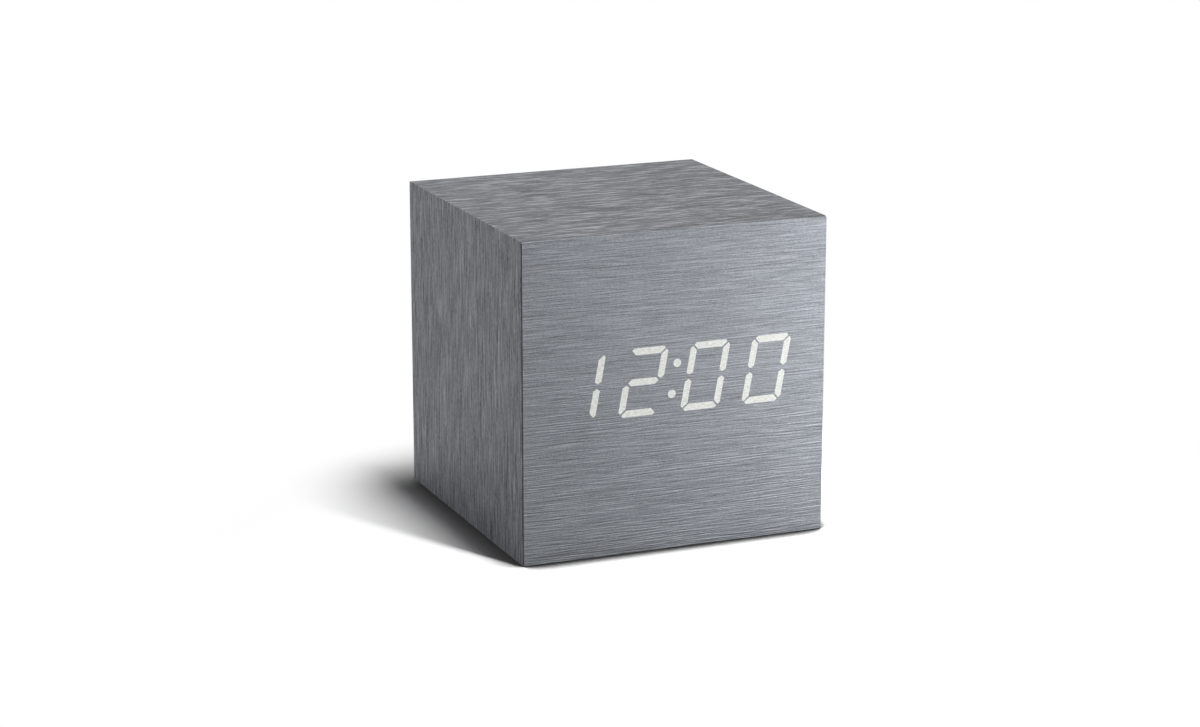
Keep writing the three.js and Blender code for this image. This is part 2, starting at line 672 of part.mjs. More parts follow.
// Three cells in series, turned end for end, with their springs and contact plates
function buildCells() {
  const plateY = [cellY - CONTACT_WIDTH / 2 + 1.2, cellY + CONTACT_WIDTH / 2];
  const wallX = bay.x - SEAT;
  const plateZ = (rows) => [rowZ(rows.at(-1)) - CONTACT_WIDTH / 2, rowZ(rows[0]) + CONTACT_WIDTH / 2];
  const plate = (side, rows) =>
    block(
      side < 0 ? [-wallX, CONTACT - wallX] : [wallX - CONTACT, wallX],
      plateY,
      plateZ(rows),
    );
  const tab = (side, row) =>
    block(
      side < 0 ? [-wallX, CONTACT - wallX] : [wallX - CONTACT, wallX],
      [trayFront - TAB[1], cellY],
      about(rowZ(row), TAB[0]),
    );
  add("negative_contact", join(plate(-1, [0]), tab(-1, 0)), METAL);
  add("left_bridge_contact", plate(-1, [1, 2]), METAL);
  add("right_bridge_contact", plate(1, [0, 1]), METAL);
  add("positive_contact", join(plate(1, [2]), tab(1, 2)), METAL);

  const radius = CELL_DIAMETER / 2;
  const can = [
    [0, 0],
    [radius - 0.6, 0],
    [radius, 0.6],
    [radius, CELL_LENGTH - NUB[1] - 0.5],
    [radius - 0.5, CELL_LENGTH - NUB[1]],
    [NUB[0], CELL_LENGTH - NUB[1]],
    [NUB[0], CELL_LENGTH],
    [0, CELL_LENGTH],
  ];
  const springFrom = wallX - CONTACT - SEAT;
  for (let row = 0; row < CELL_ROWS; row++) {
    const side = row % 2 ? 1 : -1; // the end that has the spring
    const line = springLine(side * springFrom, side * (springFrom - SPRING_LENGTH), rowZ(row));
    add(`contact_spring_${row + 1}`, wire(line, SPRING_WIRE / 2, 5), METAL);
    const cell = turned(can, [0, 0, 0], 20).rotateZ((side * Math.PI) / 2);
    const base = side * (springFrom - SPRING_LENGTH - SEAT);
    add(`cell_${row + 1}`, cell.translate(base, cellY, rowZ(row)), METAL);
    if (row === 0) console.log(`least gap between spring curls ${curlGap(line).toFixed(2)} mm`);
  }
}

// Three keys over their switches, and the power socket, on one board behind the cover
function buildKeys() {
  const reach = 1.5 * KEY_PITCH + KEY_BOARD_END;
  const holes = [-KEY_PITCH, KEY_PITCH].map((x) =>
    rod(KEY_SCREW[2] + SCREW_PLAY, [keyBoard[0] - 1, keyBoard[1] + 1], x, keyZ, 10),
  );
  const board = block([-reach, reach], keyBoard, about(keyZ, KEY_BOARD_HEIGHT));
  add("key_board", cut(board, ...holes), GREEN);
  [-KEY_PITCH, KEY_PITCH].forEach((x, i) => {
    const fastener = screw(KEY_SCREW, [0, 0, 0], 8).rotateX(Math.PI);
    add(`key_screw_${i + 1}`, fastener.translate(x, keyBoard[0] - SEAT, keyZ), METAL);
  });

  const rear = coverRear + KEY_RISE;
  const bore = KEY_TRAVEL + SLIP + 0.6;
  ["set", "up", "down"].forEach((name, station) => {
    const x = keyX[station];
    const cap = [
      [0, flangeInner],
      [KEY_RADIUS + FLANGE[0], flangeInner],
      [KEY_RADIUS + FLANGE[0], flangeInner + FLANGE[1]],
      [KEY_RADIUS, flangeInner + FLANGE[1]],
      [KEY_RADIUS, rear - 0.4],
      [KEY_RADIUS - 0.4, rear],
      [0, rear],
    ];
    add(`${name}_key`, turned(cap, [x, 0, keyZ], 20), WHITE);
    const body = cut(
      block(about(x, SWITCH), [switchTop - SWITCH_HEIGHT, switchTop], about(keyZ, SWITCH)),
      rod(PLUNGER_RADIUS + SLIP, [switchTop - bore, switchTop + 1], x, keyZ, 12),
    );
    add(`${name}_switch`, body, METAL);
    const plunger = rod(PLUNGER_RADIUS, [switchTop - 0.6, plungerTop], x, keyZ, 12);
    add(`${name}_plunger`, plunger, BLACK);
  });

  const base = keyBoard[1] + SEAT;
  const nose = coverRear - 0.4;
  const socket = cut(
    join(
      block(about(keyX[3], JACK), [base, coverInner - SLIP], about(keyZ, JACK)),
      rod(JACK_NOSE, [base + 1, nose], keyX[3], keyZ, 24),
    ),
    rod(JACK_BORE, [base + 1, nose + 1], keyX[3], keyZ, 16),
  );
  add("power_socket", join(socket, rod(JACK_PIN, [base + 0.5, nose - 0.6], keyX[3], keyZ, 10)), BLACK);
}

// The ribbon between the two boards and the leads from the outer contacts, which run in
// the empty middle of the box.
function buildLeads({ columnX, plugZ, plugRear }) {
  const plugFront = keyBoard[0] - SEAT - KEY_PLUG[1];
  const plug = block(
    about(columnX, KEY_PLUG[0]),
    [plugFront, keyBoard[0] - SEAT],
    about(keyZ, KEY_PLUG[2]),
  );
  add("key_plug", plug, WHITE);
  const [from, to] = [plugRear + SEAT, plugFront - SEAT];
  const bend = (to - from) / 2;
  const line = new THREE.CubicBezierCurve(
    new THREE.Vector2(from, plugZ),
    new THREE.Vector2(from + bend, plugZ),
    new THREE.Vector2(to - bend, keyZ),
    new THREE.Vector2(to, keyZ),
  );
  const edge = (side) =>
    Array.from({ length: 17 }, (_, k) => {
      const tangent = line.getTangent(k / 16);
      const centre = line.getPoint(k / 16);
      const offset = (side * RIBBON[1]) / 2;
      return [centre.x - tangent.y * offset, centre.y + tangent.x * offset];
    });
  const strip = new THREE.ExtrudeGeometry(outline([...edge(-1), ...edge(1).reverse()]), {
    depth: RIBBON[0],
    bevelEnabled: false,
  });
  const yzx = new THREE.Matrix4().set(0, 0, 1, 0, 1, 0, 0, 0, 0, 1, 0, 0, 0, 0, 0, 1);
  add("ribbon", strip.applyMatrix4(yzx).translate(columnX - RIBBON[0] / 2, 0, 0), METAL);

  const tabX = bay.x - SEAT - CONTACT / 2;
  const tip = trayFront - TAB[1] - SEAT;
  const solder = keyBoard[0] - SEAT;
  [["negative_lead", -1, 0], ["positive_lead", 1, CELL_ROWS - 1]].forEach(([name, side, row]) => {
    const z = rowZ(row);
    const endX = side * (keyX[3] + 1);
    const route = new THREE.CatmullRomCurve3(
      [
        [side * tabX, tip, z],
        [side * tabX, tip - 1.6, z],
        [side * (tabX - 1.5), tip - 4, z + (keyZ - z) * 0.35],
        [side * (tabX - 4), tip - 3.5, z + (keyZ - z) * 0.75],
        [endX, solder - 6, keyZ - 0.4],
        [endX, solder - 1.6, keyZ],
        [endX, solder, keyZ],
      ].map((p) => new THREE.Vector3(...p)),
    );
    const points = route.getPoints(20).map((p) => p.toArray());
    add(name, wire(points, LEAD_RADIUS, 6), side < 0 ? BLACK : 0xa03028);
  });
}

buildBox();
buildBlocks();
buildDisplay();
const plugPlace = buildElectronics();
buildCover();
buildDoor();
buildCells();
buildKeys();
buildLeads(plugPlace);

export default part;
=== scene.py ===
"""A cube alarm clock in brushed laminate, with its lit display and its moulded rear cover.

Metres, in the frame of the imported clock: front towards -Y, the middle of the base at the origin.
"""
import json
import math
from collections import namedtuple

import bmesh
import bpy
import numpy as np
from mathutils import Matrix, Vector
from mathutils.geometry import delaunay_2d_cdt


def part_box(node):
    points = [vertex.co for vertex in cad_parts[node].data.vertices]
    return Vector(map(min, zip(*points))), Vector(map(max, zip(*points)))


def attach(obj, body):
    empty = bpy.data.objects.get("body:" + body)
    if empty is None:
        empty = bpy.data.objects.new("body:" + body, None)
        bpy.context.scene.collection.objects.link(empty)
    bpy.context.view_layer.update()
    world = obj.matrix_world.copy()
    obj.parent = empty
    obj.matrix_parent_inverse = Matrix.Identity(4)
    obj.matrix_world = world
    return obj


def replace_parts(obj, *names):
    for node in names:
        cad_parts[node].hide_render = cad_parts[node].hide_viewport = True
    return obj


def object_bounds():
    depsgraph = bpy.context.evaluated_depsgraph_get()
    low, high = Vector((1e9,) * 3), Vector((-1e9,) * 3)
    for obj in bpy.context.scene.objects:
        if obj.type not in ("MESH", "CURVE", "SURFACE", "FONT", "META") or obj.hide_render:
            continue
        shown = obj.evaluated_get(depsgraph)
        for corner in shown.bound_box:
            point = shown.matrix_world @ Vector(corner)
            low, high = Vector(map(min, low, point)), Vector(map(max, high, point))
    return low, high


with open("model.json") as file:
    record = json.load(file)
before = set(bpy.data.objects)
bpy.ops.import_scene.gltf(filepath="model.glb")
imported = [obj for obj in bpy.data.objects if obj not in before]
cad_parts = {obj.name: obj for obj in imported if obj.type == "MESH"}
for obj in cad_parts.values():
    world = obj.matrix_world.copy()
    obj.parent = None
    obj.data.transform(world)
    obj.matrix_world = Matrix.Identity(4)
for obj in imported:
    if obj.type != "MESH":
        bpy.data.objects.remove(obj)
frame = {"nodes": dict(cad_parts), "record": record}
cad_low, cad_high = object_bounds()

# Camera: a long lens, a little left of the clock and above it. Its direction, distance and
# aim come from the seven corners of the cube that the photograph shows.
MM = 0.001
AZIMUTH = math.radians(-22.6)
ELEVATION = math.radians(14.66)
DISTANCE = 651.8 * MM
AIM_RIGHT = -2.64 * MM
AIM_UP = -2.41 * MM
LENS = 90.46  # on the usual 36 mm sensor

centre = (cad_low + cad_high) / 2


def direction(azimuth, elevation):
    """The unit vector at one angle round the clock from its front, and another above the level."""
    flat = math.cos(elevation)
    return Vector((math.sin(azimuth) * flat, -math.cos(azimuth) * flat, math.sin(elevation)))


backwards = direction(AZIMUTH, ELEVATION)
sideways = Vector((math.cos(AZIMUTH), math.sin(AZIMUTH), 0))
upwards = backwards.cross(sideways)
camera = bpy.data.objects.new("camera", bpy.data.cameras.new("camera"))
camera.data.lens = LENS
camera.location = centre + AIM_RIGHT * sideways + AIM_UP * upwards + DISTANCE * backwards
camera.rotation_euler = (-backwards).to_track_quat("-Z", "Y").to_euler()
bpy.context.collection.objects.link(camera)
bpy.context.scene.camera = camera
bpy.context.scene.view_settings.view_transform = "Standard"

# Boards: five 5 mm boards of MDF, mitred and glued into a box, with a glue block in each corner
# for the cover's screws. Bare pressed fibre, seen only where the box is open.
MDF_BROWN = (0.33, 0.215, 0.125)
FIBRE_SIZE = 0.35 * MM
FIBRE_RELIEF = 0.05 * MM
CLOUD_SIZE = 5 * MM


def node(tree, kind, sockets, **settings):
    """A new shader node. A socket's value is set, or linked where it is another node's output."""
    made = tree.nodes.new("ShaderNode" + kind)
    for name, value in settings.items():
        setattr(made, name, value)
    for name, value in sockets.items():
        if isinstance(value, bpy.types.NodeSocket):
            tree.links.new(value, made.inputs[name])
        else:
            made.inputs[name].default_value = value
    return made


def maths(tree, operation, *values):
    """One step of arithmetic on numbers and sockets."""
    return node(tree, "Math", dict(enumerate(values)), operation=operation).outputs[0]


def line(tree, value, slope, start):
    """A straight line: start, plus slope for each unit of the value."""
    return maths(tree, "MULTIPLY_ADD", value, slope, start)


def above(tree, value, start, full):
    """0 up to start, 1 from full on, smooth between."""
    sockets = {"Value": value, "From Min": start, "From Max": full}
    return node(tree, "MapRange", sockets, interpolation_type="SMOOTHSTEP").outputs[0]


def new_finish(name, **constants):
    """A new material: it, its node tree, and its shader with the values that hold all over."""
    material = bpy.data.materials.new(name)
    material.use_nodes = True
    shader = material.node_tree.nodes["Principled BSDF"]
    for socket, value in constants.items():
        shader.inputs[socket.replace("_", " ")].default_value = value
    return material, material.node_tree, shader


def own_place(tree):
    """Where on the piece a point lies, in the clock's own metres."""
    return node(tree, "TexCoord", {}).outputs["Object"]


def blots(tree, size, detail=2.0, seed=0.0):
    """Noise from 0 to 1 through the piece, with blots of about that size."""
    sockets = {"Vector": own_place(tree), "W": seed, "Scale": 1 / size, "Detail": detail}
    return node(tree, "TexNoise", sockets, noise_dimensions="4D").outputs[0]


def paint(tree, shader, colour, level, roughness, height, depth):
    """Colour times a level, a roughness, and bumps as high as depth where the height is 1."""
    coloured = node(tree, "VectorMath", {0: colour, "Scale": level}, operation="SCALE").outputs[0]
    tree.links.new(coloured, shader.inputs["Base Color"])
    tree.links.new(roughness, shader.inputs["Roughness"])
    bump = node(tree, "Bump", {"Height": height, "Strength": 1.0, "Distance": depth}).outputs[0]
    tree.links.new(bump, shader.inputs["Normal"])


def dress(finish, *names):
    """Gives a finish to the CAD nodes of those names."""
    for name in names:
        frame["nodes"][name].material_slots[0].material = finish


def nodes_in(slot):
    """The names of the CAD nodes that take their finish from one of the record's slots."""
    return [row["node"] for row in frame["record"]["subparts"] if row["material_slot"] == slot]


mdf, tree, shader = new_finish("pressed fibre", Specular_IOR_Level=0.15)
fibre = blots(tree, FIBRE_SIZE, detail=5.0)
cloud = blots(tree, CLOUD_SIZE, seed=2.0)
level = line(tree, cloud, 0.3, line(tree, fibre, 0.9, 0.4))
paint(tree, shader, MDF_BROWN, level, line(tree, fibre, 0.2, 0.7), fibre, FIBRE_RELIEF)
dress(mdf, *nodes_in("fibreboard"))

# Laminate on the sides: one strip of grey brushed foil, glued round the four MDF boards and
# turned over their rear edges. The brush marks run along the strip, so they go round the box.
FOIL = 0.3 * MM
FOLD_RADIUS = 0.18 * MM  # where the strip goes round the box's edges
FOLD_STEPS = 4
FOLD_MIDDLE = 0.3  # in radii, how far in from both faces the rear fold has its middle
SIDE_GREY = (0.214, 0.218, 0.2385)
FOIL_ROUGHNESS = 0.72
LINE_POLISH = 0.3  # how much of that roughness the lightest lines lose
LINE_SLIDE = 0.618  # in marks, how far a brush line is slid along from the one before
LINE_APART = 3.7  # how far apart in the noise two lines are drawn, so that they share nothing
SCRATCH_SHOWS = (0.52, 0.76)  # noise from which a scratch starts to show, and shows in full
GLINT_SHOWS = (0.52, 0.80)
GRAIN_MAP = "grain"  # the UV map, in metres along and across the brush marks
SMOOTH_UNDER = math.radians(40)  # an edge that turns by less is shaded as a curve
SAME_POINT = 1e-7  # points nearer to each other than this are merged
Mark = namedtuple("Mark", "length width strength")  # one kind of brush mark, in mm along and across


def new_piece(name, points, faces, body, finishes, uv=None, finish_of=None):
    """A mesh from points and faces, its doubles merged and its faces turned outwards, which rides on
    its body. UV has a pair for each face's corner, and finish_of the number of each face's finish."""
    mesh = bpy.data.meshes.new(name)
    mesh.from_pydata(np.asarray(points).tolist(), [], faces)
    if uv is not None:
        mesh.uv_layers.new(name=GRAIN_MAP).data.foreach_set("uv", np.ravel(uv).astype(np.float32))
    if finish_of is not None:
        mesh.polygons.foreach_set("material_index", np.ravel(finish_of).astype(np.int32))
    merged = bmesh.new()
    merged.from_mesh(mesh)
    bmesh.ops.remove_doubles(merged, verts=merged.verts, dist=SAME_POINT)
    bmesh.ops.recalc_face_normals(merged, faces=merged.faces)
    merged.to_mesh(mesh)
    merged.free()
    mesh.shade_smooth()
    mesh.set_sharp_from_angle(angle=SMOOTH_UNDER)
    for finish in finishes:
        mesh.materials.append(finish)
    piece = bpy.data.objects.new(name, mesh)
    bpy.context.collection.objects.link(piece)
    piece.modifiers.new("even shading", "WEIGHTED_NORMAL").keep_sharp = True
    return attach(piece, body)


def quads(rows, columns, close_rows=False):
    """The faces of a grid of points, four corners each. Its columns close into rings, and its rows
    too if asked."""
    row = np.arange(rows if close_rows else rows - 1)[:, None]
    column = np.arange(columns)[None, :]
    after, beside = (row + 1) % rows, (column + 1) % columns
    here, there = row * columns, after * columns
    ends = [here + column, here + beside, there + beside, there + column]
    return np.stack(np.broadcast_arrays(*ends), -1).reshape(-1, 4)


def ringed_piece(name, rings, body, finishes, close_rows=False, uv=None, finish_of=None):
    """A piece whose surface goes from ring to ring of points, and from the last to the first if asked."""
    faces = quads(*rings.shape[:2], close_rows).tolist()
    return new_piece(name, rings.reshape(-1, 3), faces, body, finishes, uv, finish_of)


def square_ring(half, inset, y):
    """Points round a square of that half size about the clock's axis: the middle of the base, then
    each corner as an arc. The inset moves every side in, and eats into the corners' radius."""
    turn = np.radians(np.linspace(0, 90, FOLD_STEPS + 1) + 90 * np.arange(-1, 3)[:, None]).ravel()
    across = np.repeat([1, 1, -1, -1], FOLD_STEPS + 1)
    upright = np.repeat([-1, 1, 1, -1], FOLD_STEPS + 1)
    radius = np.maximum(FOLD_RADIUS - inset, 0)
    reach = half - inset - radius
    x = reach * across + radius * np.cos(turn)
    z = reach * upright + radius * np.sin(turn)
    x = np.hstack([0 * inset, x])
    z = np.hstack([inset - half, z])
    return np.stack([x, np.broadcast_to(y, x.shape), centre.z + z], -1)


def round_length(points):
    """How far each point of a closed line lies along it, and the whole way back to the first."""
    steps = np.linalg.norm(np.diff(np.append(points, points[:1], 0), axis=0), axis=-1)
    return np.append(0, np.cumsum(steps))


def in_marks(tree, place, mark, start):
    """A place on the foil, counted in lengths of a mark along U and its widths along V, from a start."""
    scale = (1 / (mark.length * MM), 1 / (mark.width * MM), 1)
    return node(tree, "Mapping", {"Vector": place, "Location": start, "Scale": scale}).outputs[0]


def flat_noise(tree, place, detail):
    """Noise from 0 to 1 over a plane, with blots of about one unit and finer ones by the detail."""
    sockets = {"Vector": place, "Scale": 1.0, "Detail": detail, "Roughness": 0.5}
    return node(tree, "TexNoise", sockets, noise_dimensions="2D").outputs[0]


def stretched_noise(tree, place, mark, seed, detail=0.0):
    """Noise from 0 to 1 in blots as long along U and as wide along V as the mark."""
    return flat_noise(tree, in_marks(tree, place, mark, (seed, 2 * seed, 0)), detail)


def brush_lines(tree, place, mark, seed):
    """Noise from 0 to 1 in lines along U as wide as the mark, each broken into marks about as long. The
    number of a line slides its marks along and draws them anew, so no two lines are alike."""
    drawn = node(tree, "SeparateXYZ", {0: in_marks(tree, place, mark, (seed, seed, 0))})
    number = maths(tree, "FLOOR", drawn.outputs["Y"], 0.0)
    slid = line(tree, number, LINE_SLIDE, drawn.outputs["X"])
    apart = maths(tree, "MULTIPLY", number, LINE_APART)
    spot = node(tree, "CombineXYZ", {"X": slid, "Y": apart}).outputs[0]
    return flat_noise(tree, spot, detail=1.0)


def brushed_laminate(name, grey, waver, lines, grit, bands, scratches, glints, ridges):
    """Brushed foil. Long fine lines, short grit and broad bands go both ways from the grey by their
    strength, and darker scratches and lighter glints stand out where their own noise is high; the glints
    are painted highlights. All waver sideways, and the lines shade the gloss too. The ridges are the
    relief. For the waver and the ridges, the strength is how far they go, in mm."""
    material, tree, shader = new_finish(name, Metallic=0.42, Specular_IOR_Level=0.1, Anisotropic=0.4)
    place = node(tree, "UVMap", {}, uv_map=GRAIN_MAP).outputs[0]
    sway = maths(tree, "MULTIPLY", stretched_noise(tree, place, waver, seed=3.1), waver.strength * MM)
    bend = node(tree, "CombineXYZ", {"Y": sway}).outputs[0]
    place = node(tree, "VectorMath", {0: place, 1: bend}, operation="ADD").outputs[0]

    long_line = brush_lines(tree, place, lines, seed=7.3)
    grain = brush_lines(tree, place, grit, seed=37.1)
    band = stretched_noise(tree, place, bands, seed=29.3, detail=1.0)
    scratch = above(tree, brush_lines(tree, place, scratches, seed=11.7), *SCRATCH_SHOWS)
    # Glints: lighter marks added to the colour, which are painted highlights
    glint = above(tree, brush_lines(tree, place, glints, seed=19.9), *GLINT_SHOWS)
    darkest = 1 - lines.strength - grit.strength - bands.strength
    level = line(tree, long_line, 2 * lines.strength, darkest)
    level = line(tree, grain, 2 * grit.strength, level)
    level = line(tree, band, 2 * bands.strength, level)
    level = line(tree, scratch, -scratches.strength, level)
    level = line(tree, glint, glints.strength, level)

    roughness = line(tree, long_line, -LINE_POLISH, FOIL_ROUGHNESS)
    ridge = stretched_noise(tree, place, ridges, seed=43.7, detail=1.0)
    paint(tree, shader, grey, level, roughness, ridge, ridges.strength * MM)
    along = node(tree, "Tangent", {}, direction_type="UV_MAP", uv_map=GRAIN_MAP).outputs[0]
    tree.links.new(along, shader.inputs["Tangent"])
    return material


sides_finish = brushed_laminate(
    "brushed sides",
    SIDE_GREY,
    waver=Mark(25, 6, 0.3),
    lines=Mark(12, 0.2, 0.6),
    grit=Mark(0.9, 0.22, 0.6),
    bands=Mark(6, 0.7, 0.4),
    scratches=Mark(12, 0.25, 0.4),
    glints=Mark(8, 0.25, 0.7),
    ridges=Mark(6, 0.45, 0.05),
)
# The top is the same foil with far stronger glints, so painted highlights make it lighter than the sides
top_finish_with_painted_glints = brushed_laminate(
    "brushed top with painted glints",
    SIDE_GREY,
    waver=Mark(25, 6, 0.4),
    lines=Mark(12, 0.22, 0.55),
    grit=Mark(0.9, 0.25, 0.5),
    bands=Mark(6, 0.8, 0.4),
    scratches=Mark(12, 0.3, 0.35),
    glints=Mark(8, 0.35, 1.9),
    ridges=Mark(6, 0.45, 0.05),
)
top_low, top_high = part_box("top_foil")
half = top_high.z - centre.z
wrap_front, wrap_rear = top_low.y, top_high.y
turned_in = top_high.z - top_low.z
# The strip's section: how far in from the outside of the box, and where along Y
wrap_profile = np.array(
    [
        (FOLD_RADIUS, wrap_front),
        (0, wrap_front + FOLD_RADIUS),
        (0, wrap_rear - FOLD_RADIUS),
        (FOLD_MIDDLE * FOLD_RADIUS, wrap_rear - FOLD_MIDDLE * FOLD_RADIUS),
        (FOLD_RADIUS, wrap_rear),
        (turned_in - FOLD_RADIUS, wrap_rear),
        (turned_in, wrap_rear - FOLD_RADIUS),
        (turned_in, wrap_rear - FOIL),
        (FOIL, wrap_rear - FOIL),
        (FOIL, wrap_front),
    ]
)
wrap_rings = square_ring(half, wrap_profile[:, :1], wrap_profile[:, 1:])
wrap_uv = np.stack(np.meshgrid(round_length(wrap_rings[1]), round_length(wrap_profile)), -1)
wrap_corners = [wrap_uv[:-1, :-1], wrap_uv[:-1, 1:], wrap_uv[1:, 1:], wrap_uv[1:, :-1]]
wrap_finish = np.zeros(wrap_rings.shape[:2])
# The top face takes the copy of the foil that painted highlights make lighter
wrap_finish[1, 2 * FOLD_STEPS + 2] = 1  # the outer face between the two upper folds is the top
wrap = ringed_piece(
    "laminate_wrap",
    wrap_rings,
    "case",
    [sides_finish, top_finish_with_painted_glints],
    close_rows=True,
    uv=np.stack(wrap_corners, -2),
    finish_of=wrap_finish,
)
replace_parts(wrap, "top_foil", "right_foil", "bottom_foil", "left_foil")

# Front sheet: a thin brushed sheet over the whole front, with its own finer marks that run
# level. It is opaque until the LEDs behind it shine, and then the segments show through it.
EDGE_BREAK = 0.15 * MM
FRONT_GREY = (0.26, 0.275, 0.299)
# The sheet's dark core, on its cut side and back; on the left and bottom of its front bevel it is painted
# shade
SHEET_CORE_AND_SHADE = (0.018, 0.018, 0.02, 1)
LIT_WHITE = (0.40, 0.41, 0.39)
GLOW = (1.0, 1.0, 0.965, 1.0)
MOTTLE = Mark(0.8, 0.25, 0.01)  # in the lit segments, with its relief in mm as its strength
DIGIT_HEIGHT = 14.4 * MM
DIGIT_WIDTH = 8.9 * MM
DIGIT_PITCH = 13.95 * MM
DIGIT_SLANT = 0.185  # sideways run for each metre of height
STROKE = 1.45 * MM
SEGMENT_GAP = 0.35 * MM
SEGMENT_BLUNT = 0.45 * MM
SEGMENT_TIP = 0.5 * MM
TIP_SPACING = 0.9 * MM
COLON_DOT = 1.75 * MM
COLON_SPREAD = 6.46 * MM
DOT_SIDES = 28
SHOWN = "1200"
SEGMENTS_OF = {"0": "abcdef", "1": "bc", "2": "abged"}
BRUSHED, LIT, CORE_AND_SHADE = range(3)  # the numbers of the sheet's finishes
# The dark core on the bevel's left and bottom faces, and not on its top and right, is painted shade
BEVEL_FINISH_WITH_PAINTED_SHADE = [BRUSHED] * 3 + [CORE_AND_SHADE] * 4 + [BRUSHED]  # anticlockwise from the upper right corner
X, Y, Z = range(3)  # the columns of an array of points
ALL_TRIANGLES = 0  # what the triangulation gives back
TOUCHING = 1e-6  # mm between points that the triangulation takes as one


def segment_outlines():
    """The seven segments of an upright digit about its centre, lettered clockwise from the top bar."""
    right, top = DIGIT_WIDTH / 2, DIGIT_HEIGHT / 2
    mitre = SEGMENT_GAP * math.sqrt(0.5)
    tip = TIP_SPACING / 2
    end = np.array(
        [
            (right - mitre - 2 * SEGMENT_BLUNT, top),
            (right - mitre - SEGMENT_BLUNT, top - SEGMENT_BLUNT),
            (right - mitre - STROKE, top - STROKE),
        ]
    )
    bar = np.vstack([end, end[::-1] * (-1, 1)])
    side = np.array(
        [
            (right, top - mitre - 2 * SEGMENT_BLUNT),
            (right - SEGMENT_BLUNT, top - mitre - SEGMENT_BLUNT),
            (right - STROKE, top - mitre - STROKE),
            (right - STROKE, tip + SEGMENT_TIP),
            (right - STROKE / 2, tip),
            (right, tip + SEGMENT_TIP),
        ]
    )
    point = right - STROKE / 2 - SEGMENT_GAP
    shoulder = point - STROKE / 2
    upper = np.array([(point, 0), (shoulder, STROKE / 2), (-shoulder, STROKE / 2)])
    return {
        "a": bar,
        "b": side,
        "c": side * (1, -1),
        "d": bar * (1, -1),
        "e": side * (-1, -1),
        "f": side * (-1, 1),
        "g": np.vstack([upper, -upper]),
    }


def counterclockwise(outline):
    """The same outline, its points in the order that has the area on their left."""
    after = np.roll(outline, -1, axis=0)
    area = np.sum(outline[:, 0] * after[:, 1] - after[:, 0] * outline[:, 1])
    return outline if area > 0 else outline[::-1]


def lit_outlines(middle_x, middle_z):
    """The outlines that shine: the digits' segments and the colon, leaning with their height."""
    segments = segment_outlines()
    places = (np.arange(len(SHOWN)) - (len(SHOWN) - 1) / 2) * DIGIT_PITCH
    lean = np.array([(1, 0), (DIGIT_SLANT, 1)])
    digits = [
        segments[letter] @ lean + (place, 0)
        for place, digit in zip(places, SHOWN)
        for letter in SEGMENTS_OF[digit]
    ]
    turn = np.linspace(0, 2 * math.pi, DOT_SIDES, endpoint=False)
    dot = COLON_DOT / 2 * np.stack([np.cos(turn), np.sin(turn)], -1)
    dots = [dot + np.array((0, side * COLON_SPREAD / 2)) @ lean for side in (1, -1)]
    return [counterclockwise(outline + (middle_x, middle_z)) for outline in digits + dots]


def square_outline(size, chamfer):
    """A square about the clock's axis with its corners cut off, as eight points in X and Z."""
    corner = np.array([(size, size - chamfer), (size - chamfer, size)])
    quarter = [corner, corner[::-1] * (-1, 1), -corner, corner[::-1] * (1, -1)]
    return np.vstack(quarter) + (0, centre.z)


def front_mesh(low, high, outlines):
    """The sheet's front, split along the lit outlines by a triangulation that keeps their edges,
    then its bevel, its cut side and its back. Gives points, faces and each face's finish."""
    rim = square_outline(high.x - EDGE_BREAK, EDGE_BREAK)
    edge = square_outline(high.x, 2 * EDGE_BREAK)
    groups = [rim, *outlines]
    ends = np.cumsum([len(group) for group in groups])
    wanted = [list(range(end - len(group), end)) for group, end in zip(groups, ends)]
    flat = [Vector(point) for point in np.vstack(groups) / MM]
    points, _, triangles, _, _, sources = delaunay_2d_cdt(flat, [], wanted, ALL_TRIANGLES, TOUCHING)
    face_points = np.array(points) * MM
    face_finish = [LIT if any(source > 0 for source in group) else BRUSHED for group in sources]
    layers = [(face_points, low.y), (rim, low.y), (edge, low.y + EDGE_BREAK), (edge, high.y)]
    vertices = np.vstack([np.insert(layer, Y, y, axis=1) for layer, y in layers])
    sides = len(rim)
    step = np.arange(sides)
    after = np.roll(step, -1)
    bevel = np.stack([step, after, after + sides, step + sides], -1) + len(face_points)
    cut_side = bevel + sides
    back = step + len(face_points) + 2 * sides
    faces = [*triangles, *bevel.tolist(), *cut_side.tolist(), back.tolist()]
    return vertices, faces, face_finish + BEVEL_FINISH_WITH_PAINTED_SHADE + [CORE_AND_SHADE] * (sides + 1)


front_finish = brushed_laminate(
    "brushed front",
    FRONT_GREY,
    waver=Mark(25, 6, 0.05),
    lines=Mark(14, 0.13, 0.28),
    grit=Mark(0.45, 0.13, 0.4),
    bands=Mark(40, 8, 0.05),
    scratches=Mark(12, 0.13, 0.2),
    glints=Mark(7, 0.13, 0.25),
    ridges=Mark(8, 0.3, 0.17),
)
lit_finish, tree, shader = new_finish("lit segments", Emission_Color=GLOW)
lit_place = node(tree, "UVMap", {}, uv_map=GRAIN_MAP).outputs[0]
mottle = stretched_noise(tree, lit_place, MOTTLE, seed=5.0, detail=3.0)
level = line(tree, mottle, 0.7, 0.65)
paint(tree, shader, LIT_WHITE, level, line(tree, mottle, 0.2, 0.4), mottle, MOTTLE.strength * MM)
tree.links.new(line(tree, mottle, 0.3, 0.225), shader.inputs["Emission Strength"])
# The sheet's dark core, also used as painted shade on the left and bottom of the bevel
core_and_shade_finish = new_finish("sheet core and painted shade", Base_Color=SHEET_CORE_AND_SHADE, Roughness=0.6)[0]

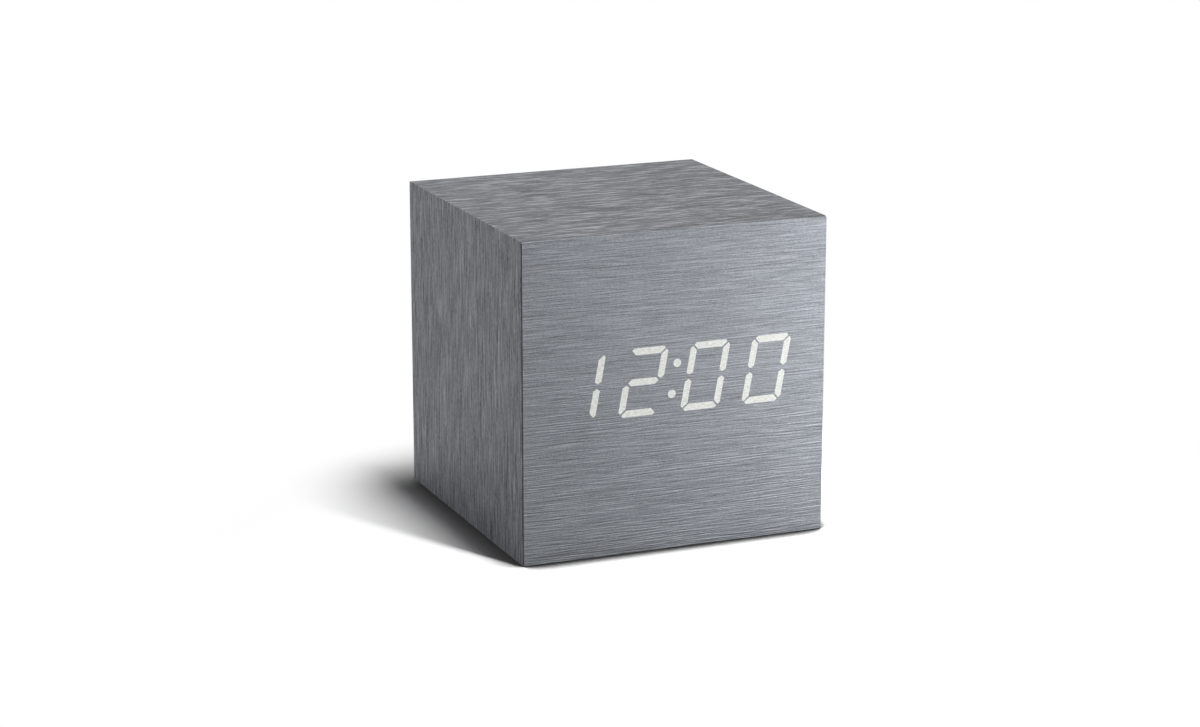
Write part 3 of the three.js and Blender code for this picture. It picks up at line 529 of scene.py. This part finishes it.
sheet_low, sheet_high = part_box("front_sheet")
guide_low, guide_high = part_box("light_guide")
shining = lit_outlines((guide_low.x + guide_high.x) / 2, (guide_low.z + guide_high.z) / 2)
front_points, front_faces, face_finishes = front_mesh(sheet_low, sheet_high, shining)
front = new_piece(
    "brushed_front",
    front_points,
    front_faces,
    "case",
    [front_finish, lit_finish, core_and_shade_finish],
    uv=front_points[np.concatenate(front_faces)][:, [X, Z]],
    finish_of=face_finishes,
)
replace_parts(front, "front_sheet")

# Display: a black mask whose openings are filled by clear lenses, on a green board with an LED
# behind each of them. Screwed to the front board, and out of sight behind the sheet.
MASK_BLACK = (0.02, 0.02, 0.022)
LENS_WHITE = (0.70, 0.71, 0.68)
LENS_HAZE = 0.8 * MM
MASK_GREEN = (0.016, 0.07, 0.042, 1)  # solder mask
TRACK_GREEN = (0.03, 0.13, 0.07, 1)  # the same over copper
TRACK_SPACING = (3.4 * MM, 1.1 * MM)
TRACK_WIDTH = 0.13 * MM
TRACK_RISE = 0.03 * MM
LED_CREAM = (0.72, 0.68, 0.50, 1)
LED_EDGE = 0.05 * MM  # over which the board's green turns to the LED's cream
BOARD_THICKNESS = 1.6 * MM
BOARD_PATCH = 2 * MM  # of more or less gloss
STEEL = (0.60, 0.59, 0.56)
STEEL_CLOUD = 1.3 * MM
STEEL_SKIN = 0.07 * MM
POLISH = 0.002 * MM  # the relief that is left on what is polished
HANDLED_PATCH = 9 * MM


def moulded(name, colour, grain=0.2 * MM, depth=0.012 * MM):
    """Moulded plastic: an even spark grain, and broad patches that handling has made glossier."""
    material, tree, shader = new_finish(name, Specular_IOR_Level=0.4)
    spark = blots(tree, grain, detail=3.0)
    patches = line(tree, blots(tree, HANDLED_PATCH, seed=5.0), 0.24, 0.34)
    roughness = line(tree, spark, 0.12, patches)
    paint(tree, shader, colour, line(tree, spark, 0.5, 0.75), roughness, spark, depth)
    return material


def plated(name, colour, dull):
    """Plated metal: bright, with clouds in its polish and a fine uneven skin, no glossier than dull."""
    material, tree, shader = new_finish(name, Metallic=1.0)
    cloud = blots(tree, STEEL_CLOUD, detail=4.0)
    skin = blots(tree, STEEL_SKIN, seed=3.0)
    roughness = line(tree, skin, 0.2, dull)
    paint(tree, shader, colour, line(tree, cloud, 0.3, 0.82), roughness, skin, POLISH)
    return material


def mixed(tree, share, first, second):
    """The first colour where the share is 0, the second where it is 1."""
    return node(tree, "Mix", {0: share, 6: first, 7: second}, data_type="RGBA").outputs[2]


def circuit_board(name, front):
    """Green solder mask over copper tracks, which run as the joints in a wall of long bricks. What
    stands in front of the board's face is an LED and is cream."""
    material, tree, shader = new_finish(name, Specular_IOR_Level=0.5)
    place = own_place(tree)
    upright = node(tree, "Mapping", {"Vector": place, "Rotation": (-math.pi / 2, 0, 0)}).outputs[0]
    sockets = {"Vector": upright, "Scale": 1.0, "Mortar Size": TRACK_WIDTH, "Mortar Smooth": 0.4}
    sockets |= {"Brick Width": TRACK_SPACING[0], "Row Height": TRACK_SPACING[1]}
    tracks = node(tree, "TexBrick", sockets).outputs["Fac"]
    forward = node(tree, "SeparateXYZ", {0: place}).outputs["Y"]
    led = above(tree, maths(tree, "MULTIPLY", forward, -1.0), -front, LED_EDGE - front)
    board = mixed(tree, tracks, MASK_GREEN, TRACK_GREEN)
    tree.links.new(mixed(tree, led, board, LED_CREAM), shader.inputs["Base Color"])
    tree.links.new(line(tree, blots(tree, BOARD_PATCH), 0.2, 0.25), shader.inputs["Roughness"])
    bump = node(tree, "Bump", {"Height": tracks, "Strength": 1.0, "Distance": TRACK_RISE}).outputs[0]
    tree.links.new(bump, shader.inputs["Normal"])
    return material


steel = plated("plated steel", STEEL, dull=0.22)
mask_black = moulded("mask black", MASK_BLACK, depth=0.004 * MM)
lens, tree, shader = new_finish("clear lens", Transmission_Weight=0.6, IOR=1.49)
haze = blots(tree, LENS_HAZE)
paint(tree, shader, LENS_WHITE, line(tree, haze, 0.2, 0.9), line(tree, haze, 0.2, 0.2), haze, POLISH)
board_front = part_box("display_board")[1].y - BOARD_THICKNESS
dress(mask_black, "segment_mask")
dress(lens, "light_guide")
dress(circuit_board("display board green", board_front), "display_board")
dress(steel, "display_screw_1", "display_screw_2")

# Electronics: chip, crystal, capacitor, plug, buzzer, microphone and a coin cell in its holder, all
# soldered to the back of the display board. Dark and white mouldings, and plated steel cans.
EPOXY = (0.022, 0.022, 0.024, 1)
EPOXY_GRAIN = 0.15 * MM
TINNED = (0.56, 0.56, 0.54, 1)
SLEEVE = (0.018, 0.022, 0.035)
NYLON = (0.68, 0.66, 0.60)
CHIP_BODY = 7.5 * MM  # across, between its two rows of legs
LEG_EDGE = 0.02 * MM  # over which the body turns to a leg

chip, tree, shader = new_finish("chip")
low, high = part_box("clock_chip")
upright = node(tree, "SeparateXYZ", {0: own_place(tree)}).outputs["Z"]
aside = maths(tree, "ABSOLUTE", maths(tree, "SUBTRACT", upright, (low.z + high.z) / 2))
leg = above(tree, aside, CHIP_BODY / 2, CHIP_BODY / 2 + LEG_EDGE)
tree.links.new(mixed(tree, leg, EPOXY, TINNED), shader.inputs["Base Color"])
tree.links.new(leg, shader.inputs["Metallic"])
tree.links.new(line(tree, blots(tree, EPOXY_GRAIN), 0.3, 0.35), shader.inputs["Roughness"])
dress(chip, "clock_chip")
dress(moulded("capacitor sleeve", SLEEVE, grain=1.5 * MM, depth=0.003 * MM), "capacitor")
dress(moulded("nylon", NYLON, grain=0.5 * MM, depth=0.004 * MM), "ribbon_plug", "key_plug")
dress(mask_black, "buzzer", "coin_holder")
dress(steel, "crystal", "microphone", "backup_coin_cell")

# Rear cover: one black moulding let into the back of the box, with the battery tray, the key holes
# and the sound slots. ABS with a spark-eroded grain, its edges broken in the mould.
COVER_BLACK = (0.021, 0.021, 0.023)
COVER_EDGE = 0.16 * MM
EDGE_STEPS = 2
BEVEL_OVER = math.radians(35)  # an edge that turns by more is rounded
FLAT_UNDER = math.radians(0.3)  # faces that meet at less are one flat face


def moulding(name, source, body, radius, finish):
    """A CAD solid made again as a moulding: its flat faces split into even triangles, and every edge
    that turns by more than a curve's steps rounded."""
    solid = frame["nodes"][source].data
    points = np.empty(3 * len(solid.vertices), np.float32)
    solid.vertices.foreach_get("co", points)
    corners = np.empty(len(solid.loops), np.int32)
    solid.loops.foreach_get("vertex_index", corners)
    piece = new_piece(name, points.reshape(-1, 3), corners.reshape(-1, 3).tolist(), body, [finish])
    joined = bmesh.new()
    joined.from_mesh(piece.data)
    bmesh.ops.dissolve_limit(joined, angle_limit=FLAT_UNDER, verts=joined.verts, edges=joined.edges)
    bmesh.ops.triangulate(joined, faces=joined.faces)
    flat = [edge for edge in joined.edges if edge.calc_face_angle(math.pi) < FLAT_UNDER]
    bmesh.ops.beautify_fill(joined, faces=joined.faces, edges=flat)
    joined.to_mesh(piece.data)
    joined.free()
    piece.data.set_sharp_from_angle(angle=math.pi)
    rounding = piece.modifiers.new("broken edges", "BEVEL")
    rounding.width = radius
    rounding.segments = EDGE_STEPS
    rounding.limit_method = "ANGLE"
    rounding.angle_limit = BEVEL_OVER
    rounding.use_clamp_overlap = False
    rounding.loop_slide = False
    piece.modifiers.move(1, 0)  # rounded first, then shaded
    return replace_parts(piece, source)


cover_black = moulded("cover black", COVER_BLACK)
moulding("moulded_cover", "rear_cover", "case", COVER_EDGE, cover_black)

# Contacts and springs: stamped plates of nickel-plated steel at both ends of the tray, and a wire
# spring coiled to a cone at the flat end of each cell.
SPRING_WIRE = 0.5 * MM
SPRING_RADII = (3.9 * MM, 2.4 * MM)  # at the contact, at the cell
SPRING_TURNS = 2.5
SPRING_STEPS = 120
SPRING_CLIMB = 1.3  # lengths that it would climb in all its turns, had it no flat ends
SPRING_INSET = 0.04  # of its length, for half the wire's thickness at each end
CELLS = 3


def tube(path, across, radius, sides=10):
    """A round wire along a path. Each ring lies across the path, between the direction given and the
    one square to it, and the two ends close to a point."""
    forward = np.gradient(path, axis=0)
    forward /= np.linalg.norm(forward, axis=1, keepdims=True)
    across = across - np.sum(across * forward, axis=1, keepdims=True) * forward
    across /= np.linalg.norm(across, axis=1, keepdims=True)
    upright = np.cross(forward, across)
    turn = np.linspace(0, 2 * math.pi, sides, endpoint=False)[:, None]
    rings = path[:, None] + radius * (np.cos(turn) * across[:, None] + np.sin(turn) * upright[:, None])
    ends = np.repeat(path[[0, -1], None], sides, axis=1)
    return np.concatenate([ends[:1], rings, ends[1:]])


def spring_side(row):
    """The side that a row's spring is on, 1 or -1 along X: the rows lie end for end."""
    return 1 if row % 2 else -1


dress(steel, "negative_contact", "left_bridge_contact", "right_bridge_contact", "positive_contact")
share = np.linspace(0, 1, SPRING_STEPS)
climb = np.clip(0.5 + SPRING_CLIMB * (share - 0.5), SPRING_INSET, 1 - SPRING_INSET)
reach = SPRING_RADII[0] + (SPRING_RADII[1] - SPRING_RADII[0]) * share
turn = 2 * math.pi * SPRING_TURNS * share
outwards = np.stack([0 * turn, np.cos(turn), np.sin(turn)], -1)
for row in range(CELLS):
    low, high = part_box(f"contact_spring_{row + 1}")
    cell_low, cell_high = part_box(f"cell_{row + 1}")
    first, last = (low.x, high.x) if spring_side(row) < 0 else (high.x, low.x)
    path = np.array((cell_low + cell_high) / 2) + reach[:, None] * outwards
    path[:, X] = first + (last - first) * climb
    coil = tube(path, outwards, SPRING_WIRE / 2)
    spring = ringed_piece(f"coil_spring_{row + 1}", coil, "case", [steel])
    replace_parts(spring, f"contact_spring_{row + 1}")

# Cells: three round AAA cells, each a steel can in a shrunk plastic jacket with a pale band at its
# positive end. Plain, with no lettering.
JACKET_BLUE = (0.028, 0.066, 0.16)
BAND_GREY = (0.40, 0.40, 0.38)
IN_JACKET, BARE, IN_BAND = range(3)  # the numbers of a cell's finishes
CELL_SIDES = 48
CELL_EDGE = 0.14 * MM
LONGEST_EASE = 0.45  # of a side, that the curve of one corner may take
CAN_MOUTH = 4.42 * MM  # where the jacket ends on both faces
BAND_START = 35.6  # mm from the flat end
# Radius and place from the flat end, in mm
CELL_PROFILE = MM * np.array(
    [
        (0, 0),
        (3.7, 0),
        (3.95, 0.3),
        (4.35, 0.3),
        (4.5, 0.06),
        (4.95, 0.06),
        (5.25, 0.45),
        (5.25, BAND_START),
        (5.25, 43.1),
        (4.9, 43.58),
        (4.48, 43.58),
        (4.3, 43.3),
        (2.3, 43.3),
        (1.9, 43.5),
        (1.9, 44.25),
        (1.55, 44.5),
        (0, 44.5),
    ]
)


def part_way(start, end, distance):
    """The points at that distance from each start towards its end, or nearer where a side is short."""
    gap = end - start
    return start + gap * np.minimum(distance / np.linalg.norm(gap, axis=1, keepdims=True), LONGEST_EASE)


def eased(profile, radius, steps=3):
    """A profile with its corners rounded. Each becomes the curve that leaves the side before it and
    meets the side after it at that distance, bent towards the corner (a quadratic Bezier curve)."""
    before, corner, after = profile[:-2], profile[1:-1], profile[2:]
    leaves, meets = part_way(corner, before, radius), part_way(corner, after, radius)
    share = np.linspace(0, 1, steps + 2)[:, None, None]
    curves = (1 - share) ** 2 * leaves + 2 * share * (1 - share) * corner + share**2 * meets
    return np.vstack([profile[:1], curves.transpose(1, 0, 2).reshape(-1, 2), profile[-1:]])


def turned(profile, middle, axis, sides):
    """A profile of radius and place along an axis, carried round it: one ring for each of its points."""
    turn = np.linspace(0, 2 * math.pi, sides, endpoint=False)
    radius, place = profile[:, :1], profile[:, 1:]
    first, second = [other for other in (X, Y, Z) if other != axis]
    rings = np.empty((len(profile), sides, 3))
    rings[..., axis] = place
    rings[..., first] = middle[first] + radius * np.cos(turn)
    rings[..., second] = middle[second] + radius * np.sin(turn)
    return rings


jacket = moulded("cell jacket", JACKET_BLUE, grain=2.2 * MM, depth=0.004 * MM)
band = moulded("jacket band", BAND_GREY, grain=2.2 * MM, depth=0.004 * MM)
cell_profile = eased(CELL_PROFILE, CELL_EDGE)
radius, place = ((cell_profile[1:] + cell_profile[:-1]) / 2).T
on_jacket = np.where(place > BAND_START * MM, IN_BAND, IN_JACKET)
cell_finish = np.where(radius < CAN_MOUTH, BARE, on_jacket)
for row in range(CELLS):
    low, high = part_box(f"cell_{row + 1}")
    side = spring_side(row)
    flat_end = low.x if side < 0 else high.x
    placed = np.stack([cell_profile[:, 0], flat_end - side * cell_profile[:, 1]], -1)
    cell = ringed_piece(
        f"jacketed_cell_{row + 1}",
        turned(placed, (low + high) / 2, X, CELL_SIDES),
        "case",
        [jacket, steel, band],
        finish_of=np.repeat(cell_finish, CELL_SIDES),
    )
    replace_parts(cell, f"cell_{row + 1}")

# Battery door: a flat black moulding that hooks under the cover at its foot and clips at its top,
# with grip bars to push it by and a raised arrow that says where to press.
DOOR_EDGE = 0.18 * MM
ARROW_SIZE = 1.5 * MM
ARROW_RISE = 0.25 * MM
ARROW_DROP = 4.4 * MM  # from the door's top edge
MARK_SINK = 0.1 * MM
MARK_TOP = 0.88  # of the outline's size
MARK_SHOULDER = 0.6  # of the rise


def raised_mark(name, outline, level, rise, body, finish):
    """A mark that stands up from a face: its outline in X and Z, drawn out along Y from just under
    the face, with a sloping shoulder round its top."""
    middle = outline.mean(axis=0)
    top = middle + MARK_TOP * (outline - middle)
    heights = [level - MARK_SINK, level + MARK_SHOULDER * rise, level + rise]
    rings = [np.insert(ring, Y, y, axis=1) for ring, y in zip([outline, outline, top], heights)]
    count = len(outline)
    ends = [list(range(count)), list(range(2 * count, 3 * count))]
    faces = quads(len(rings), count).tolist() + ends
    return new_piece(name, np.vstack(rings), faces, body, [finish])


def triangle(size, pointing):
    """Three corners about (0, 0), the first straight up for 1 or straight down for -1."""
    turn = math.pi / 2 * pointing + np.array([0, 2, 4]) * math.pi / 3
    return size * np.stack([np.cos(turn), np.sin(turn)], -1)


moulding("moulded_door", "battery_door", "door", DOOR_EDGE, cover_black)
cover_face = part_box("rear_cover")[1].y
arrow = triangle(ARROW_SIZE, 1) + (0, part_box("battery_door")[1].z - ARROW_DROP)
raised_mark("door_arrow", arrow, cover_face, ARROW_RISE, "door", cover_black)

# Keys: three grey plastic buttons with a finger dish and a raised mark, loose in the cover's holes,
# over tact switches on a small board of their own.
KEY_GREY = (0.085, 0.085, 0.088)
MARK_GREY = (0.42, 0.42, 0.41)
KEY_RADIUS = 2.3 * MM
KEY_FLANGE = (2.9 * MM, 0.8 * MM)  # radius, thickness
KEY_DISH = (1.75 * MM, 0.22 * MM)  # radius, depth
KEY_EDGE = 0.32 * MM
KEY_SIDES = 56
DISH_STEPS = 8
MARK_SIZE = 1.0 * MM
RING_MARK = (0.62 * MM, 0.85 * MM)  # inner and outer radius
RING_EDGE = 0.05 * MM
KEY_MARKS = {"set": None, "up": 1, "down": -1}  # a ring, or which way its triangle points


def key_profile(inner, outer):
    """Radius and depth of a key from its inner face to its dish, whose depth falls off as a parabola."""
    dish_radius, dish_depth = KEY_DISH
    share = np.linspace(1, 0, DISH_STEPS + 1)[:, None]
    dish = np.hstack([share * dish_radius, outer - dish_depth * (1 - share**2)])
    shoulder = [
        (0, inner),
        (KEY_FLANGE[0], inner),
        (KEY_FLANGE[0], inner + KEY_FLANGE[1]),
        (KEY_RADIUS, inner + KEY_FLANGE[1]),
        (KEY_RADIUS, outer),
        (dish_radius, outer),
    ]
    return np.vstack([eased(np.array(shoulder), KEY_EDGE, steps=4), dish[1:]])


def ring_profile(floor, rise):
    """Radius and depth of a raised ring, from under the floor up its inner side and down its outer."""
    inner, outer = RING_MARK
    foot, top = floor - MARK_SINK, floor + rise
    return eased(np.array([(inner, foot), (inner, top), (outer, top), (outer, foot)]), RING_EDGE)


key_grey = moulded("key grey", KEY_GREY, grain=0.12 * MM, depth=0.004 * MM)
mark_grey = moulded("mark grey", MARK_GREY, depth=0.006 * MM)
for name, pointing in KEY_MARKS.items():
    button = f"{name}_button"
    low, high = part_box(f"{name}_key")
    middle = (low + high) / 2
    rings = turned(key_profile(low.y, high.y), middle, Y, KEY_SIDES)
    key = ringed_piece(f"{name}_cap", rings, button, [key_grey])
    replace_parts(key, f"{name}_key")
    rise = KEY_DISH[1]
    dish_floor = high.y - rise
    if pointing is None:
        rings = turned(ring_profile(dish_floor, rise), middle, Y, KEY_SIDES)
        ringed_piece(f"{name}_mark", rings, button, [mark_grey], close_rows=True)
    else:
        outline = triangle(MARK_SIZE, pointing) + (middle.x, middle.z)
        raised_mark(f"{name}_mark", outline, dish_floor, rise, button, mark_grey)
before_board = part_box("key_board")[0].y - BOARD_THICKNESS  # this board has no LEDs
dress(circuit_board("key board green", before_board), "key_board")
dress(steel, "key_screw_1", "key_screw_2", "set_switch", "up_switch", "down_switch")
dress(mask_black, "set_plunger", "up_plunger", "down_plunger")

# Power socket: a black barrel socket on the key board, its nose in the cover's fourth hole, with a
# plated centre pin.
SOCKET_EDGE = 0.12 * MM
PIN_RADIUS = 0.69 * MM
PIN_EDGE = 0.25 * MM
PIN_SIDES = 24
PIN_FOOT = 1 * MM  # from the socket's inner end
PIN_INSET = 0.57 * MM  # of its tip behind the socket's rim
moulding("barrel_socket", "power_socket", "case", SOCKET_EDGE, mask_black)
low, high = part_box("power_socket")
foot, tip = low.y + PIN_FOOT, high.y - PIN_INSET
pin = np.array([(0, foot), (PIN_RADIUS, foot), (PIN_RADIUS, tip), (0, tip)])
rings = turned(eased(pin, PIN_EDGE), (low + high) / 2, Y, PIN_SIDES)
ringed_piece("socket_pin", rings, "case", [steel])

# Leads: a grey ribbon between the two boards, and a black and a red lead from the outer contacts,
# all copper in soft plastic and loose in the middle of the box.
RIBBON_GREY = (0.30, 0.30, 0.31)
RIBBON_PITCH = 1.27 * MM
RIB_HEIGHT = 0.15 * MM
LEAD_RED = (0.32, 0.025, 0.02)
ribbon, tree, shader = new_finish("ribbon", Specular_IOR_Level=0.4)
across = node(tree, "SeparateXYZ", {0: own_place(tree)}).outputs["X"]
wave = maths(tree, "SINE", maths(tree, "MULTIPLY", across, math.pi / RIBBON_PITCH))
ribs = maths(tree, "ABSOLUTE", wave)
# Darker between the ribs and lighter on their crests: painted shade in the grooves
level = line(tree, ribs, 0.4, 0.7)
paint(tree, shader, RIBBON_GREY, level, line(tree, ribs, -0.1, 0.5), ribs, RIB_HEIGHT)
dress(ribbon, "ribbon")
dress(moulded("black lead", COVER_BLACK, grain=1 * MM, depth=0.01 * MM), "negative_lead")
dress(moulded("red lead", LEAD_RED, grain=1 * MM, depth=0.01 * MM), "positive_lead")

# Cover screws: four steel pan-head screws with a cross recess, sunk in the cover's corners and
# driven into the glue blocks.
HEAD_RADIUS = 2.4 * MM
HEAD_HEIGHT = 1.3 * MM
HEAD_RIM = 0.4  # of its height, under the dome
HEAD_STEPS = 45
SHANK_RADIUS = 1.3 * MM
SHANK_POINT = (0.25, 0.1)  # radius and height of its blunt point, in the shank's radii
SHANK_STEPS = 64
THREAD_DEPTH = 0.28 * MM
THREAD_PITCH = 1.0 * MM
CROSS_ARM = (0.34 * MM, 1.42 * MM)  # half width, reach
CROSS_DEPTH = 0.8 * MM
CROSS_SLOPE = 0.14 * MM
SCREW_SIDES = 96


def screw_rings(tip, top, middle):
    """A screw about Y. Its shank swells and narrows with the thread, its head is half an ellipse over a
    short rim, and the cross sinks into that where a point is nearer to either arm than its half width."""
    seat = top - HEAD_HEIGHT
    along = np.linspace(tip + SHANK_RADIUS, seat, SHANK_STEPS)
    groove = np.abs(((along - tip) / THREAD_PITCH) % 1 - 0.5) * 2
    shank = np.stack([SHANK_RADIUS - THREAD_DEPTH * groove, along], -1)
    point = [(0, tip), (SHANK_POINT[0] * SHANK_RADIUS, tip + SHANK_POINT[1] * SHANK_RADIUS)]
    rim = [(HEAD_RADIUS, seat), (HEAD_RADIUS, seat + HEAD_RIM * HEAD_HEIGHT)]
    share = np.linspace(1, 0, HEAD_STEPS + 1)[1:]
    dome = seat + HEAD_HEIGHT * (HEAD_RIM + (1 - HEAD_RIM) * np.sqrt(1 - share**2))
    head = np.stack([HEAD_RADIUS * share, dome], -1)
    rings = turned(np.vstack([point, shank, rim, head]), middle, Y, SCREW_SIDES)
    aside = np.abs(rings[..., [X, Z]] - np.array([middle.x, middle.z]))
    narrow, far = aside.min(axis=-1), aside.max(axis=-1)
    width, reach = CROSS_ARM
    inside = np.clip((width - narrow) / CROSS_SLOPE, 0, 1) * np.clip((reach - far) / CROSS_SLOPE, 0, 1)
    on_head = slice(-len(head), None)
    rings[on_head, :, Y] -= CROSS_DEPTH * inside[on_head]
    return rings


for corner in ("top_left", "top_right", "bottom_left", "bottom_right"):
    low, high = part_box(f"cover_screw_{corner}")
    rings = screw_rings(low.y, high.y, (low + high) / 2)
    screw = ringed_piece(f"cross_screw_{corner}", rings, "case", [steel])
    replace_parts(screw, f"cover_screw_{corner}")

# Floor: a plain white table top under the clock. To the eye it is white wherever the lamps
# reach it, with shade painted into it in the corner under the clock's edges; far off it runs into the
# white wall.
FLOOR_SIZE = 3.0
FLOOR_CLEAR = 0.02 * MM  # keeps the table top from lying in the base's own plane
FLOOR_SEEN = 2.08  # its whiteness to the eye, over 1 because the lamps leave it grey
FLOOR_MIRRORED = 1.1  # its whiteness in gloss
FLOOR_BOUNCE = 0.2  # the share of the light that it throws back at the clock
FLOOR_LEAST = 0.025  # a glow that keeps the shadow from black
FADE_FROM = (0.01, -0.06, 0)  # the point round which the table fades to white
FADE_START = 0.098
FADE_END = 0.132
PAINTED_SHADE_REACH = 8 * MM  # how far the clock's edges darken it
PAINTED_SHADE_OPEN = (0.5, 0.97)  # open share of the sky at which the corner is black, and is clear
floor_mesh = bpy.data.meshes.new("floor")
floor_corners = FLOOR_SIZE / 2 * np.array([(-1, -1, 0), (1, -1, 0), (1, 1, 0), (-1, 1, 0)])
floor_corners[:, Z] = -FLOOR_CLEAR
floor_mesh.from_pydata(floor_corners.tolist(), [], [(0, 1, 2, 3)])
floor = bpy.data.objects.new("floor", floor_mesh)
bpy.context.collection.objects.link(floor)


def looked_at(tree):
    """1 on a ray that shows the surface to the eye, straight or in gloss and glass; 0 on light that
    a dull surface gathers."""
    path = node(tree, "LightPath", {})
    shown = maths(tree, "MAXIMUM", path.outputs["Is Camera Ray"], path.outputs["Is Glossy Ray"])
    shown = maths(tree, "MAXIMUM", shown, path.outputs["Is Transmission Ray"])
    return maths(tree, "MULTIPLY", shown, maths(tree, "LESS_THAN", path.outputs["Diffuse Depth"], 0.5))


floor_finish = bpy.data.materials.new("white table")
floor_finish.use_nodes = True
tree = floor_finish.node_tree
tree.nodes.remove(tree.nodes["Principled BSDF"])
sockets = {0: own_place(tree), 1: FADE_FROM}
distance = node(tree, "VectorMath", sockets, operation="DISTANCE").outputs["Value"]
far = above(tree, distance, FADE_START, FADE_END)
straight = node(tree, "LightPath", {}).outputs["Is Camera Ray"]
open_sky = node(tree, "AmbientOcclusion", {"Distance": PAINTED_SHADE_REACH}).outputs["AO"]
white = line(tree, straight, FLOOR_SEEN - FLOOR_MIRRORED, FLOOR_MIRRORED)
# Painted shade: the colour darkens in the corner under the clock's edges, by how much of the sky is shut
# off
white = maths(tree, "MULTIPLY", white, above(tree, open_sky, *PAINTED_SHADE_OPEN))
near_white = node(tree, "BsdfDiffuse", {"Color": white}).outputs[0]
least = node(tree, "Emission", {"Color": (1, 1, 1, 1), "Strength": FLOOR_LEAST}).outputs[0]
near_white = node(tree, "AddShader", {0: near_white, 1: least}).outputs[0]
far_white = node(tree, "Emission", {"Color": (1, 1, 1, 1), "Strength": 1.0}).outputs[0]
seen = node(tree, "MixShader", {0: far, 1: near_white, 2: far_white}).outputs[0]
bounce = node(tree, "BsdfDiffuse", {"Color": (FLOOR_BOUNCE, FLOOR_BOUNCE, FLOOR_BOUNCE, 1)}).outputs[0]
table = node(tree, "MixShader", {0: looked_at(tree), 1: bounce, 2: seen}).outputs[0]
tree.links.new(table, tree.nodes["Material Output"].inputs[0])
floor_mesh.materials.append(floor_finish)

# Studio: white walls for the eye and in the gloss, and soft lamps: a tall strip over the front, a
# near lamp at its right, a low one at the left and one behind.
world = bpy.data.worlds.new("studio")
bpy.context.scene.world = world
world.use_nodes = True
tree = world.node_tree
background = tree.nodes["Background"]
background.inputs["Color"].default_value = (1, 1, 1, 1)
tree.links.new(looked_at(tree), background.inputs["Strength"])


def lamp(name, azimuth, elevation, far_off, size, power, spread=180):
    """A flat soft lamp at those angles and that distance from the clock, facing it. Size is its width
    and height in metres, power is in watts, and spread is the angle of its beam."""
    light = bpy.data.lights.new(name, "AREA")
    light.shape = "RECTANGLE"
    light.size, light.size_y = size
    light.energy = power
    light.spread = math.radians(spread)
    towards = direction(math.radians(azimuth), math.radians(elevation))
    placed = bpy.data.objects.new(name, light)
    placed.location = centre + far_off * towards
    placed.rotation_euler = (-towards).to_track_quat("-Z", "Y").to_euler()
    bpy.context.collection.objects.link(placed)


lamp("strip", azimuth=22, elevation=65, far_off=1.0, size=(0.05, 0.72), power=5.9)
lamp("right", azimuth=50, elevation=4, far_off=0.16, size=(0.05, 0.05), power=0.188)
lamp("left", azimuth=-95, elevation=-1, far_off=0.80, size=(0.60, 0.03), power=1.4)
lamp("rear", azimuth=180, elevation=0, far_off=0.10, size=(0.06, 0.06), power=0.015, spread=24)
